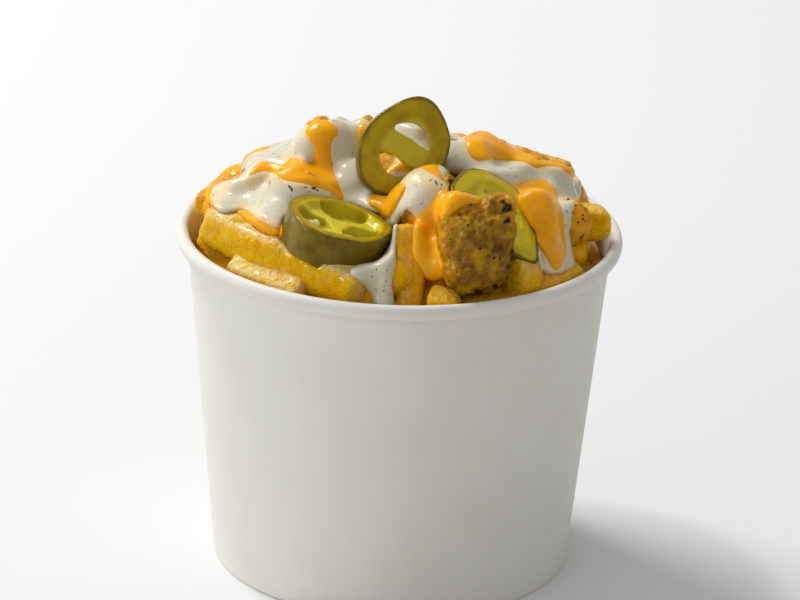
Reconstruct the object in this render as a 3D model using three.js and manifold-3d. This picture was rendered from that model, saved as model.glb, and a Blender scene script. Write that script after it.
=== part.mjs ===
// Chicken tawook fries: a round paper tub heaped with fries, grilled chicken pieces and
// pickled jalapeno slices, with white garlic sauce and cheese sauce poured over them.
// Millimetres, +Z up. The origin is the centre of the tub's foot, on the table.
// The side with the thick jalapeno slice and the largest chicken piece faces -Y.
import * as THREE from "three";
import { mergeVertices } from "three/addons/utils/BufferGeometryUtils.js";
import Module from "manifold-3d";

const wasm = await Module();
wasm.setup();

// Driving dimensions.
const TUB = {
  height: 91,
  rimRadius: 58.5, // outside of the rolled rim
  rollWidth: 3.4,
  rollHeight: 4.2,
  wallTopRadius: 55.5, // outside, just under the roll
  footRadius: 47,
  paper: 0.6,
  hemWidth: 1.7, // the folded foot, three layers of paper
  hemHeight: 3.1,
  sides: 40,
};
const GAP = 0.3; // between pieces that lie on each other
const HEAP = {
  edgeHeight: 95, // height of the heap where it meets the rim
  crown: 24, // how far its middle rises above that
  backDrop: 10, // how much lower its back edge lies than its front edge
  radius: 54,
  coreDepth: 9, // the plain core lies this far under the fries' tops
};
const FRY = { thick: 9.2, looseLength: 50, looseCount: 54, rimCount: 8, steps: 2 };
const SEED = 41;

// Small helpers.
const vec = (p) => new THREE.Vector3(p[0], p[1], p[2]);
const lerp = THREE.MathUtils.lerp;

// A seeded generator of numbers from 0 to 1.
function randomFrom(seed) {
  let state = seed;
  return () => {
    state = (state * 1664525 + 1013904223) % 4294967296;
    return state / 4294967296;
  };
}

// Height of the heap's smooth outline over a point of the plan.
function domeHeight(x, y) {
  const share = Math.hypot(x, y) / HEAP.radius;
  const back = Math.max(0, y) / HEAP.radius;
  return HEAP.edgeHeight + HEAP.crown * (1 - share * share) - HEAP.backDrop * back;
}

function solidOf(geometry) {
  const bare = geometry.clone();
  bare.deleteAttribute("normal");
  bare.deleteAttribute("uv");
  const merged = mergeVertices(bare, 1e-4);
  return new wasm.Manifold(
    new wasm.Mesh({
      numProp: 3,
      vertProperties: new Float32Array(merged.attributes.position.array),
      triVerts: new Uint32Array(merged.index.array),
    }),
  );
}

function geometryOf(solid) {
  const mesh = solid.getMesh();
  const geometry = new THREE.BufferGeometry();
  const places = new THREE.BufferAttribute(mesh.vertProperties, 3);
  geometry.setAttribute("position", places);
  geometry.setIndex(new THREE.BufferAttribute(mesh.triVerts, 1));
  geometry.computeVertexNormals();
  return geometry;
}

// The largest body of a solid: cutting can leave loose scraps behind.
function largestBody(solid) {
  const bodies = solid.decompose();
  return bodies.reduce((best, b) => (b.volume() > best.volume() ? b : best));
}

function moveVertices(geometry, change) {
  const places = geometry.attributes.position;
  const p = new THREE.Vector3();
  for (let i = 0; i < places.count; i++) {
    p.fromBufferAttribute(places, i);
    change(p);
    places.setXYZ(i, p.x, p.y, p.z);
  }
  return geometry;
}

// Paper tub.
function tubWallRadius(z) {
  const top = TUB.height - TUB.rollHeight;
  return lerp(TUB.footRadius, TUB.wallTopRadius, z / top);
}

// The wall with its rolled rim and folded foot; grow makes the cutter that keeps food off it.
function tubWallGeometry(grow = 0) {
  const rollX = TUB.rollWidth / 2 + grow;
  const rollZ = TUB.rollHeight / 2 + grow;
  const rollCentre = [TUB.rimRadius - TUB.rollWidth / 2, TUB.height - TUB.rollHeight / 2];
  const wallTop = TUB.height - TUB.rollHeight;
  const inside = (z) => tubWallRadius(z) - TUB.paper - grow;
  const bevel = 0.4;
  const profile = [
    [TUB.footRadius - TUB.hemWidth, 0],
    [TUB.footRadius - bevel, 0],
    [TUB.footRadius, bevel],
    [tubWallRadius(wallTop), wallTop],
  ];
  const rollFrom = -0.62 * Math.PI;
  const rollTo = 1.02 * Math.PI;
  const rollSteps = 7;
  for (let i = 0; i <= rollSteps; i++) {
    const a = lerp(rollFrom, rollTo, i / rollSteps);
    profile.push([rollCentre[0] + rollX * Math.cos(a), rollCentre[1] + rollZ * Math.sin(a)]);
  }
  profile.push([inside(wallTop), wallTop]);
  profile.push([inside(TUB.hemHeight), TUB.hemHeight]);
  profile.push([TUB.footRadius - TUB.hemWidth, TUB.hemHeight]);
  profile.push(profile[0]);
  return turned(profile, TUB.sides);
}

// A profile of [radius, height] pairs turned round the Z axis.
function turned(profile, sides) {
  const points = profile.map(([r, z]) => new THREE.Vector2(r, z));
  return new THREE.LatheGeometry(points, sides).rotateX(Math.PI / 2);
}

function tubBaseGeometry() {
  const under = TUB.hemHeight + GAP;
  const radius = tubWallRadius(under) - TUB.paper - GAP;
  const over = under + TUB.paper;
  return turned([[0, under], [radius, under], [radius, over], [0, over]], TUB.sides);
}

// Fries.
// Each is {from, to, thick, turn, bend}: the ends of its middle line, its width, how far it is
// turned about its length, and how far its middle is bowed.
const SHOWN_FRIES = [
  // the long one on the left, and those below and behind it
  { from: [-48.0, -13.0, 94.4], to: [-8.6, -48.2, 91.0], thick: 9.6, turn: 0.15, bend: 1.2 },
  { from: [-42.4, -26.2, 88.6], to: [-24.0, -43.4, 87.2], thick: 8.8, turn: 0.5, bend: 0.5 },
  { from: [-49.2, -8.0, 90.0], to: [-35.6, -33.0, 82.0], thick: 8.6, turn: 0.2, bend: 0 },
  { from: [-17.0, -46.4, 84.5], to: [1.0, -49.0, 85.0], thick: 8.6, turn: 0.3, bend: 0 },
  { from: [-50.0, 0.5, 94.6], to: [-24.0, -22.0, 100.4], thick: 8.8, turn: 0.2, bend: 0.8 },
  { from: [-36.0, -25.0, 99.4], to: [-10.0, -37.5, 97.0], thick: 8.8, turn: 0.3, bend: 0.6 },
  // upright ones in the middle of the front
  { from: [2.0, -38.0, 106.4], to: [2.6, -49.4, 78.0], thick: 7.4, turn: 0.1, bend: 0.6 },
  { from: [11.4, -49.2, 92.6], to: [12.4, -46.2, 68.0], thick: 8.4, turn: 0.2, bend: 0.4 },
  { from: [10.0, -38.0, 98.0], to: [14.0, -44.0, 76.0], thick: 8.0, turn: 0.5, bend: 0.4 },
  { from: [-8.0, -42.0, 95.0], to: [-7.0, -47.6, 72.0], thick: 8.0, turn: 0.4, bend: 0.4 },
  { from: [15.4, -46.6, 84.6], to: [32.5, -38.5, 84.0], thick: 8.6, turn: 0.4, bend: 0 },
  // the right of the front
  { from: [29.6, -32.5, 98.0], to: [32.4, -37.4, 86.0], thick: 9.4, turn: 0.4, bend: 0.5 },
  { from: [31.0, -37.0, 87.6], to: [45.8, -20.4, 87.4], thick: 8.8, turn: 0.3, bend: 0.4 },
  { from: [27.0, -10.0, 98.0], to: [54.2, -4.4, 95.8], thick: 8.6, turn: 0.1, bend: 0.6 },
  { from: [26.0, -24.0, 93.5], to: [47.8, -13.6, 89.6], thick: 8.6, turn: 0.6, bend: 0.4 },
  // tips that stand out of the top
  { from: [-25.0, 1.0, 100.0], to: [-6.4, 5.4, 118.6], thick: 7.6, turn: 0.2, bend: 0.5 },
  { from: [-9.0, 10.0, 104.0], to: [-19.6, 8.0, 115.6], thick: 7.4, turn: 0.5, bend: 0.4 },
  { from: [22.0, 12.0, 107.4], to: [44.2, 5.0, 104.6], thick: 8.2, turn: 0.3, bend: 0.5 },
];

// Behind this line loose fries fill the heap; in front of it the shown ones do.
const FRONT_EDGE = -6;

// Loose fries start on a sunflower spiral over the heap, lie across its surface and point every
// way. settleFries then moves them out of each other.
function looseFries() {
  const random = randomFrom(SEED);
  const turnStep = Math.PI * (3 - Math.sqrt(5));
  const fries = [];
  for (let i = 0; i < FRY.looseCount; i++) {
    const reach = (HEAP.radius - 14) * Math.sqrt((i + 0.5) / FRY.looseCount);
    const x = reach * Math.cos(i * turnStep);
    const y = reach * Math.sin(i * turnStep);
    if (y < FRONT_EDGE) continue;
    const depth = 4 + 9 * random();
    const heading = Math.PI * 2 * random();
    const droop = 0.35 * (reach / HEAP.radius) * Math.cos(heading - i * turnStep);
    const pitch = 0.5 * (random() - 0.5) - droop;
    const half = FRY.looseLength * lerp(0.36, 0.58, random());
    const middle = new THREE.Vector3(x, y, domeHeight(x, y) - depth);
    const along = new THREE.Vector3(Math.cos(heading), Math.sin(heading), pitch).setLength(half);
    fries.push({
      from: middle.clone().sub(along).toArray(),
      to: middle.clone().add(along).toArray(),
      thick: FRY.thick * lerp(0.84, 1.06, random()),
      turn: Math.PI * 0.5 * random(),
      bend: 3 * (random() - 0.5),
    });
  }
  return fries;
}

// Fries that lie along the rim round the back, each a chord of it, with every other one higher.
function rimFries() {
  const random = randomFrom(SEED + 1);
  const reach = TUB.wallTopRadius - 7;
  const [first, last] = [-0.12, Math.PI + 0.1];
  const spread = (last - first) / FRY.rimCount;
  return Array.from({ length: FRY.rimCount }, (_, i) => {
    const from = first + spread * (i + lerp(-0.1, 0.1, random()));
    const to = from + spread * lerp(1.3, 1.7, random());
    const lift = i % 2 ? 4.5 : -2.5;
    const point = (a, z) => [reach * Math.cos(a), reach * Math.sin(a), z];
    return {
      from: point(from, 89 + lift),
      to: point(to, 89 + lift + lerp(-3, 3, random())),
      thick: FRY.thick * lerp(0.9, 1.05, random()),
      turn: Math.PI * 0.5 * random(),
      bend: lerp(-0.6, 0.6, random()),
    };
  });
}

// Closest points of two segments, as shares of their lengths.
function closestShares(p1, q1, p2, q2) {
  const d1 = q1.clone().sub(p1);
  const d2 = q2.clone().sub(p2);
  const r = p1.clone().sub(p2);
  const a = d1.dot(d1);
  const e = d2.dot(d2);
  const b = d1.dot(d2);
  const c = d1.dot(r);
  const f = d2.dot(r);
  const denominator = Math.max(a * e - b * b, 1e-9);
  const clamp = THREE.MathUtils.clamp;
  let s = clamp((b * f - c * e) / denominator, 0, 1);
  const t = clamp((b * s + f) / e, 0, 1);
  s = clamp((b * t - c) / a, 0, 1);
  return [s, t];
}

// Pushes the loose fries apart, off the shown fries and the large pieces, and back into the heap.
function settleFries(shown, loose, stops) {
  const rounds = 60;
  const hold = 0.47; // share of a fry's width that keeps its neighbour off
  const all = [...shown, ...loose].map((fry, i) => ({
    ends: [vec(fry.from), vec(fry.to)],
    radius: fry.thick * hold,
    free: i >= shown.length,
  }));
  const at = (rod, s) => rod.ends[0].clone().lerp(rod.ends[1], s);
  const shift = (rod, s, push) => {
    rod.ends[0].addScaledVector(push, 1 - s);
    rod.ends[1].addScaledVector(push, s);
  };
  for (let round = 0; round < rounds; round++) {
    for (let i = 0; i < all.length; i++) {
      for (let j = Math.max(i + 1, shown.length); j < all.length; j++) {
        const [a, b] = [all[i], all[j]];
        const [s, t] = closestShares(a.ends[0], a.ends[1], b.ends[0], b.ends[1]);
        const apart = at(b, t).sub(at(a, s));
        const overlap = a.radius + b.radius - apart.length();
        if (overlap <= 0) continue;
        apart.setLength(overlap * (a.free ? 0.5 : 1));
        shift(b, t, apart);
        if (a.free) shift(a, s, apart.negate());
      }
    }
    for (const rod of all.filter((r) => r.free)) {
      for (const stop of stops) {
        const centre = vec(stop.at);
        const [s] = closestShares(rod.ends[0], rod.ends[1], centre, centre.clone().addScalar(1e-4));
        const apart = at(rod, s).sub(centre);
        const overlap = rod.radius + stop.radius - apart.length();
        if (overlap > 0) shift(rod, s, apart.setLength(overlap));
      }
      for (const end of rod.ends) {
        const room = tubWallRadius(Math.min(end.z, TUB.height)) - TUB.paper - GAP - 1.1 * rod.radius;
        const reach = Math.hypot(end.x, end.y);
        if (reach > room) {
          end.x *= room / reach;
          end.y *= room / reach;
        }
        end.z = Math.min(end.z, domeHeight(end.x, end.y) - 0.6 * rod.radius);
      }
    }
  }
  return loose.map((fry, i) => {
    const { ends } = all[shown.length + i];
    return { ...fry, from: ends[0].toArray(), to: ends[1].toArray() };
  });
}

// One fry: an eight-sided bar of near-square section with blunt ends, slightly bowed.
function fryGeometry({ from, to, thick, turn, bend }, grow = 0) {
  const start = vec(from);
  const along = vec(to).sub(start);
  const length = along.length();
  const half = thick / 2 + grow;
  const corner = 0.66; // how square the section is
  const bar = new THREE.CylinderGeometry(1, 1, length + 2 * grow, 8, FRY.steps, false, Math.PI / 8);
  moveVertices(bar, (p) => {
    const share = p.y / length + 0.5;
    const wide = Math.abs(p.x) > Math.abs(p.z);
    const reach = Math.hypot(p.x, p.z) > 0.5 ? half : 0;
    const taper = 1 - 0.1 * Math.pow(Math.abs(2 * share - 1), 4);
    p.x = Math.sign(p.x) * reach * (wide ? 1 : corner) * taper;
    p.z = Math.sign(p.z) * reach * (wide ? corner : 1) * taper;
    p.x += bend * (1 - Math.pow(2 * share - 1, 2));
  });
  bar.rotateY(turn);
  const facing = new THREE.Quaternion().setFromUnitVectors(
    new THREE.Vector3(0, 1, 0),
    along.clone().normalize(),
  );
  bar.applyQuaternion(facing);
  const middle = start.addScaledVector(along, 0.5);
  return bar.translate(middle.x, middle.y, middle.z);
}

// Chicken: uneven lumps, each {at, size, turn, seed, detail}, with size the half-widths and detail
// how finely it is faceted. The lobes that make them uneven are [x, y, z, depth, width]: a way
// out of the middle, how far the surface moves out there as a share of its reach, and how wide
// the change is in radians.
const FRONT_LOBES = [
  [0.5, -0.1, 0.85, 0.3, 0.42],
  [-0.62, -0.1, 0.78, 0.3, 0.38],
  [-0.1, -0.45, 0.9, -0.26, 0.4],
  [-0.8, -0.3, 0.45, 0.1, 0.5],
  [-0.5, -0.5, -0.6, 0.12, 0.7],
  [0.8, -0.4, -0.3, -0.1, 0.5],
];
const CHICKEN = [
  {
    at: [20.0, -41.4, 101.8], size: [9.8, 8.2, 12.6], turn: [-0.35, 0.1, 0.12],
    lobes: FRONT_LOBES, detail: 2,
  },
  { at: [-21.2, -1.4, 112.2], size: [7.0, 6.6, 9.0], turn: [0.1, 0.2, 0.3], seed: 5, detail: 2 },
  { at: [7.2, -25.2, 106.6], size: [9.6, 8.0, 8.6], turn: [0.2, -0.2, 0.6], seed: 8, detail: 2 },
  { at: [-25.2, -14.6, 106.0], size: [9.4, 7.0, 6.4], turn: [0.1, 0.1, -0.2], seed: 11 },
  { at: [43.6, -11.4, 96.4], size: [6.2, 6.2, 7.4], turn: [0.2, 0.3, 0.1], seed: 13 },
  { at: [34.6, 4.0, 104.4], size: [11.4, 7.4, 5.8], turn: [0.0, 0.32, 0.1], seed: 17 },
  { at: [20.8, 3.2, 108.6], size: [8.6, 7.6, 6.8], turn: [0.3, 0.1, 0.4], seed: 19 },
  { at: [34.2, -20.8, 98.2], size: [7.4, 7.2, 9.4], turn: [-0.3, 0.25, 0.3], seed: 23 },
  { at: [-12.0, 29.0, 99.5], size: [11.0, 8.6, 7.8], turn: [0.3, 0.2, 0.5], seed: 29 },
  { at: [15.0, 32.5, 95.5], size: [9.4, 8.2, 8.6], turn: [0.4, 0.1, -0.4], seed: 37 },
  { at: [39.0, 24.0, 92.8], size: [8.2, 9.2, 7.2], turn: [0.2, 0.4, 0.3], seed: 43 },
];

function randomLobes(seed) {
  const random = randomFrom(seed);
  const way = () => random() - 0.5;
  return Array.from({ length: 8 }, () => [
    way(), way(), way(), lerp(-0.26, 0.3, random()), lerp(0.35, 0.7, random()),
  ]);
}

function chickenGeometry(piece, grow = 0) {
  const { at, size, turn, seed, lobes = randomLobes(seed), detail = 1 } = piece;
  const lump = new THREE.IcosahedronGeometry(1, detail);
  moveVertices(lump, (p) => {
    const way = p.clone().normalize();
    let reach = 1;
    for (const [x, y, z, depth, width] of lobes) {
      const away = way.angleTo(new THREE.Vector3(x, y, z)) / width;
      reach += depth * Math.exp(-away * away);
    }
    const [across, deep, high] = size.map((half) => half * reach + grow);
    p.set(way.x * across, way.y * deep, way.z * high);
  });
  lump.applyQuaternion(new THREE.Quaternion().setFromEuler(new THREE.Euler(...turn)));
  return lump.translate(...at);
}

// Jalapeno slices: {at, facing, up, radius, squash, thick}, a wobbly ring of flesh with a web
// across it that leaves two or three seed holes.
const JALAPENO = [
  { // stands on edge at the top
    at: [0.4, -13.0, 117.4], facing: [0.22, -0.88, 0.42], up: [0.58, 0, 0.82],
    radius: 14.0, squash: 0.8, thick: 4.2, flesh: 6.4, holes: 2, phase: -1.5,
  },
  { // the thick one that lies on the left of the front
    at: [-15.0, -33.6, 100.9], facing: [0.24, -0.06, 0.97], up: [1, 0, 0],
    radius: 13.8, squash: 0.92, thick: 9.8, flesh: 3.2, holes: 3,
  },
  { // the long slanting cut on the right
    at: [24.6, -28.2, 104.6], facing: [0.5, -0.3, 0.81], up: [0.6, -0.6, -0.53],
    radius: 15.8, squash: 0.82, thick: 4.2, flesh: 8.0, holes: 2,
  },
  {
    at: [-26.0, 28.0, 97.4], facing: [-0.42, 0.42, 0.8], up: [0, 1, 0],
    radius: 12.6, squash: 0.88, thick: 4.4, flesh: 3.8, holes: 3,
  },
  {
    at: [2.0, 24.0, 105.4], facing: [0.1, 0.5, 0.86], up: [1, 0, -0.1],
    radius: 13.0, squash: 0.86, thick: 4.2, flesh: 4.0, holes: 2,
  },
];

function jalapenoGeometry(item, grow = 0, solid = false) {
  const { at, facing, up, radius, squash, thick, flesh, holes } = item;
  const phase = item.phase ?? 0.4; // where the first hole starts, from the long axis
  const wobble = (a) => 1 + 0.03 * Math.sin(3 * a + 0.7) + 0.02 * Math.sin(5 * a);
  const steps = 16;
  const ring = (reach) =>
    Array.from({ length: steps }, (_, i) => {
      const a = (i / steps) * Math.PI * 2;
      const r = reach * wobble(a);
      return new THREE.Vector2(r * Math.cos(a), r * squash * Math.sin(a));
    });
  const bevel = 0.5;
  const shape = new THREE.Shape(ring(radius + grow - bevel));
  if (!solid) {
    const inner = radius - flesh;
    const web = 2.2; // half the width of the web between two holes
    const holeSteps = 4;
    for (let h = 0; h < holes; h++) {
      const from = (h / holes) * Math.PI * 2 + phase;
      const to = from + (Math.PI * 2) / holes;
      const middle = (from + to) / 2;
      const centre = [web * 1.3 * Math.cos(middle), web * 1.3 * squash * Math.sin(middle)];
      const margin = 0.34;
      const points = [new THREE.Vector2(centre[0] * 1.5, centre[1] * 1.5)];
      for (let k = 0; k <= holeSteps; k++) {
        const a = lerp(from + margin, to - margin, k / holeSteps);
        points.push(new THREE.Vector2(inner * Math.cos(a), inner * squash * Math.sin(a)));
      }
      shape.holes.push(new THREE.Path(points));
    }
  }
  const slice = new THREE.ExtrudeGeometry(shape, {
    depth: thick + 2 * grow - 2 * bevel,
    bevelEnabled: true,
    bevelThickness: bevel,
    bevelSize: bevel,
    bevelSegments: 1,
    steps: 1,
    curveSegments: 1,
  });
  slice.translate(0, 0, -thick / 2 - grow + bevel);
  const z = vec(facing).normalize();
  const x = vec(up).addScaledVector(z, -vec(up).dot(z)).normalize();
  const y = z.clone().cross(x);
  slice.applyMatrix4(new THREE.Matrix4().makeBasis(x, y, z));
  return slice.translate(...at);
}

// Sauces: each stream is a run of [x, y, lift, half-width], where lift is the height of its
// middle above the heap's outline there. It lies on the heap like a flattened worm of sauce.
const WHITE_SAUCE = {
  left: [
    [-49, -4, 0.6, 4.6], [-42.5, -10, 1.4, 7], [-34, -17, 1, 7.6], [-25, -23, -0.6, 6.4],
    [-16, -27, -1.6, 4],
  ],
  back_left: [[-37, 0, 0, 4], [-31, 4, 0, 6.4], [-24, 6, 0, 6.6], [-16, 8, 0, 4]],
  upper: [
    [-13.5, 9, 0, 4], [-13, -3, 0.3, 4.4], [-12.5, -13, 0, 4.4], [-11, -23, -1, 5],
    [-6, -32, -2, 3.6],
  ],
  centre: [
    [10, -20, 2.6, 5], [5, -28, 2.6, 7], [0.4, -37.5, 0.6, 4], [-4.6, -46, 0.6, 5.4],
    [-3.8, -54, -3, 5],
  ],
  right: [
    [14, -8, -0.5, 5], [23, -14, 0.5, 4.8], [32, -12, 1.2, 4.2], [40, -10, 1.2, 4.2],
    [43.4, -18, 1.6, 3.8], [42.4, -31, 0, 3.6],
  ],
  back: [[5, 12, -0.5, 4], [-4, 22, 0.5, 5.5], [-8, 34, 0.8, 5.4], [-7, 47, 0, 4]],
  back_right: [[13, 15, 0, 4], [22, 22, 0.5, 5], [28, 31, 0.8, 5.4], [30, 41, 0, 4]],
};
const CHEESE_SAUCE = {
  left: [[-20, 0, 2.6, 5.2], [-19, -8, 1.6, 5.2], [-17, -17, 0.6, 4.8], [-14.5, -27, -0.6, 3]],
  middle: [[-3.6, -27, 0, 5], [-3.4, -35, 0.2, 5], [-6, -42, -1, 3.2]],
  chicken_top: [[0, -17, 1.6, 3], [7, -17, 2.8, 4], [13, -21, 1.6, 3]],
  tongue: [[16, -29, 1.2, 4.6], [11, -36, 1, 5], [9.5, -44, 0.8, 4.4], [9.8, -49.5, -1, 3.2]],
  right_top: [[16, 0, 0.2, 5.2], [25, 0, 1.2, 6.2], [34, 1, 1.6, 5.6], [43, 3, 1.2, 4.4]],
  right: [[29, -15, 1.6, 5.5], [35, -19, 2, 7.6], [36.5, -28, 1.2, 6.8], [39, -36, -0.6, 4]],
  back: [[-14, 18, 0, 5], [-16, 28, 1.8, 6.2], [-21, 41, 0.4, 4.6]],
  back_right: [[9, 25, 0, 4], [14, 32, 1.6, 6], [14, 45, 0.4, 4.6]],
};

// A stream of sauce: a sphere stretched along the stream's curve, wider than it is thick.
function streamGeometry(run, grow = 0) {
  const line = run.map(([x, y, lift]) => new THREE.Vector3(x, y, domeHeight(x, y) + lift));
  const curve = new THREE.CatmullRomCurve3(line, false, "centripetal");
  const sections = run.length + 2;
  const around = 7;
  const ball = new THREE.SphereGeometry(1, around, sections);
  const thickShare = 0.46;
  const heapMiddle = new THREE.Vector3(0, 0, HEAP.edgeHeight - 30);
  moveVertices(ball, (p) => {
    const polar = Math.acos(THREE.MathUtils.clamp(p.y, -1, 1)) / Math.PI;
    const t = THREE.MathUtils.clamp(polar, 0, 1);
    const place = curve.getPoint(t);
    const tangent = curve.getTangent(t);
    const out = place.clone().sub(heapMiddle);
    out.addScaledVector(tangent, -out.dot(tangent)).normalize();
    const side = out.clone().cross(tangent);
    const at = t * (run.length - 1);
    const i = Math.min(Math.floor(at), run.length - 2);
    const width = lerp(run[i][3], run[i + 1][3], at - i);
    const end = Math.min(1, 2.6 * Math.sin(Math.PI * t)); // blunt ends
    const circle = Math.max(Math.hypot(p.x, p.z), 1e-9);
    const round = Math.sin(Math.PI * t) < 1e-6 ? 0 : end;
    const across = (p.x / circle) * round * (width + grow);
    const up = (p.z / circle) * round * (width * thickShare + 0.6 + grow);
    const pole = (t < 1e-6 ? -grow : t > 1 - 1e-6 ? grow : 0);
    p.copy(place).addScaledVector(side, across).addScaledVector(out, up).addScaledVector(tangent, pole);
  });
  return ball;
}

// The plain core of the heap, from the tub's base up to just under the fries.
function coreGeometry() {
  const bottom = TUB.hemHeight + TUB.paper + 2 * GAP;
  const wallGap = TUB.paper + GAP + 0.05;
  const top = HEAP.edgeHeight - HEAP.coreDepth;
  const reach = (z) => tubWallRadius(z) - wallGap;
  const profile = [[0, bottom], [reach(bottom), bottom], [reach(top), top]];
  const steps = 5;
  for (let i = 1; i <= steps; i++) {
    const r = lerp(HEAP.radius, 0, i / steps);
    profile.push([r, domeHeight(r, 0) - HEAP.coreDepth]);
  }
  return turned(profile, TUB.sides / 2);
}

// Assembly.
const part = new THREE.Group();
const paint = (hex, roughness) =>
  new THREE.MeshStandardMaterial({ color: hex, roughness, metalness: 0 });
const PAINT = {
  paper: paint(0xf1f0ec, 0.75),
  fries: paint(0xe0a030, 0.6),
  chicken: paint(0xa9792a, 0.65),
  jalapeno: paint(0x7d7f1c, 0.35),
  white: paint(0xe6e2d4, 0.3),
  cheese: paint(0xf09a12, 0.3),
};

function add(name, geometry, material) {
  const mesh = new THREE.Mesh(geometry, material);
  mesh.name = name;
  part.add(mesh);
}

add("tub_wall", tubWallGeometry(), PAINT.paper);
add("tub_base", tubBaseGeometry(), PAINT.paper);

// The pieces of food in the order in which they keep their shape: each is cut back from those
// before it, with the gap between them.
const placed = [];
function place(name, solid, cutter, material) {
  let cut = solid;
  for (const other of placed) {
    const clash = cut.intersect(other.cutter).volume() > 1e-3;
    if (clash) cut = cut.subtract(other.cutter);
  }
  cut = largestBody(cut);
  placed.push({ name, cutter });
  add(name, geometryOf(cut), material);
}

const numbered = (name, i) => `${name}_${i + 1}`;
const wallCutter = solidOf(tubWallGeometry(GAP));
placed.push({ name: "tub_wall", cutter: wallCutter });

JALAPENO.forEach((slice, i) => {
  const cutter = solidOf(jalapenoGeometry(slice, GAP, true));
  place(numbered("jalapeno", i), solidOf(jalapenoGeometry(slice)), cutter, PAINT.jalapeno);
});
CHICKEN.forEach((piece, i) => {
  const cutter = solidOf(chickenGeometry(piece, GAP));
  place(numbered("chicken", i), solidOf(chickenGeometry(piece)), cutter, PAINT.chicken);
});
for (const [where, run] of Object.entries(CHEESE_SAUCE)) {
  const [stream, cutter] = [0, GAP].map((grow) => solidOf(streamGeometry(run, grow)));
  place("cheese_sauce_" + where, stream, cutter, PAINT.cheese);
}
for (const [where, run] of Object.entries(WHITE_SAUCE)) {
  const [stream, cutter] = [0, GAP].map((grow) => solidOf(streamGeometry(run, grow)));
  place("white_sauce_" + where, stream, cutter, PAINT.white);
}

const stops = CHICKEN.map(({ at, size }) => ({ at, radius: 0.6 * Math.min(...size) }));
const laid = [...SHOWN_FRIES, ...rimFries()];
const fries = [...laid, ...settleFries(laid, looseFries(), stops)];
const heapBodies = [coreGeometry(), ...fries.map((fry) => fryGeometry(fry))].map(solidOf);
const heap = wasm.Manifold.union(heapBodies);
place("fries", heap, heap, PAINT.fries);

export default part;
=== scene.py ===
# Looks of the tub of fries, chicken and jalapenos under two sauces.
# Lengths in this script are in millimetres until a mesh is made, and +Z is up.
import math

import bpy
import numpy as np
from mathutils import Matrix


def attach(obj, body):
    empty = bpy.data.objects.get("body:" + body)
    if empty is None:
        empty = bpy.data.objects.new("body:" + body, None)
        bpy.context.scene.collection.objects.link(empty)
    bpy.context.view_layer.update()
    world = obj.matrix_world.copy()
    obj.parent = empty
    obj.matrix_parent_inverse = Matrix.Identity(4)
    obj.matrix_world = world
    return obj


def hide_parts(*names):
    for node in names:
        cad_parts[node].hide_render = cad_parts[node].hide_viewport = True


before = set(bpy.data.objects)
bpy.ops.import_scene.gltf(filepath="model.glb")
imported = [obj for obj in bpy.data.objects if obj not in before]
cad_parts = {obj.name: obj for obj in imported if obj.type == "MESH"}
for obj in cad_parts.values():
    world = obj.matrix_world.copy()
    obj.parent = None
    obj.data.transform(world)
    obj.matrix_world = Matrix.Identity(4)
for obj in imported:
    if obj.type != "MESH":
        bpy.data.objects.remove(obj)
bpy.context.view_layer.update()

import openvdb
from mathutils import Matrix, Vector

MM = 0.001

# The tub and the heap, as in the solids.
TUB = dict(height=91.0, rim=58.5, roll_w=3.4, roll_h=4.2, wall_top=55.5, foot=47.0,
           paper=0.6, hem_w=1.7, hem_h=3.1)
GAP = 0.3
HEAP = dict(edge=95.0, crown=24.0, back_drop=10.0, radius=54.0)
FRY = dict(thick=9.2, loose_length=50.0, loose_count=54, rim_count=8)
SEED = 41
FRONT_EDGE = -6.0

# The photo's camera.
CAMERA = dict(elevation=21.11, roll=1.74, distance=1600.0, aim=(0.69, 0.0, 70.6),
              focal_px=6082.0, width_px=800, height_px=600)
PX_PER_MM = CAMERA["focal_px"] / CAMERA["distance"]


# Small helpers.
def lerp(a, b, t):
    return a + (b - a) * t


def smoothstep(lo, hi, x):
    t = np.clip((x - lo) / (hi - lo), 0.0, 1.0)
    return t * t * (3.0 - 2.0 * t)


def unit(v):
    v = np.asarray(v, float)
    return v / max(np.linalg.norm(v), 1e-12)


def random_from(seed):
    """A seeded generator of numbers from 0 to 1, the same as in the solids' source."""
    state = seed

    def draw():
        nonlocal state
        state = (state * 1664525 + 1013904223) % 4294967296
        return state / 4294967296
    return draw


def dome_height(x, y):
    share2 = (x * x + y * y) / HEAP["radius"] ** 2
    back = np.maximum(0.0, y) / HEAP["radius"]
    return HEAP["edge"] + HEAP["crown"] * (1 - share2) - HEAP["back_drop"] * back


def wall_radius(z):
    return lerp(TUB["foot"], TUB["wall_top"], z / (TUB["height"] - TUB["roll_h"]))


def lattice_value(ix, iy, iz, seed):
    """A fixed pseudo-random number from -1 to 1 for each cell of a lattice."""
    h = (ix * 374761393 + iy * 668265263 + iz * 2147483647 + seed * 1274126177) & 0xFFFFFFFF
    h = ((h ^ (h >> 13)) * 1274126177) & 0xFFFFFFFF
    h = h ^ (h >> 16)
    return h.astype(np.float64) / 2147483647.5 - 1.0


def noise(points, size, seed=0):
    """Smooth noise from -1 to 1 with lumps of the given size."""
    q = np.asarray(points, float) / size + 100.0
    cell = np.floor(q).astype(np.int64)
    f = q - cell
    f = f * f * (3 - 2 * f)
    total = 0.0
    for dx in (0, 1):
        wx = f[..., 0] if dx else 1 - f[..., 0]
        for dy in (0, 1):
            wy = f[..., 1] if dy else 1 - f[..., 1]
            for dz in (0, 1):
                wz = f[..., 2] if dz else 1 - f[..., 2]
                corner = lattice_value(cell[..., 0] + dx, cell[..., 1] + dy, cell[..., 2] + dz, seed)
                total = total + corner * wx * wy * wz
    return total


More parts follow.
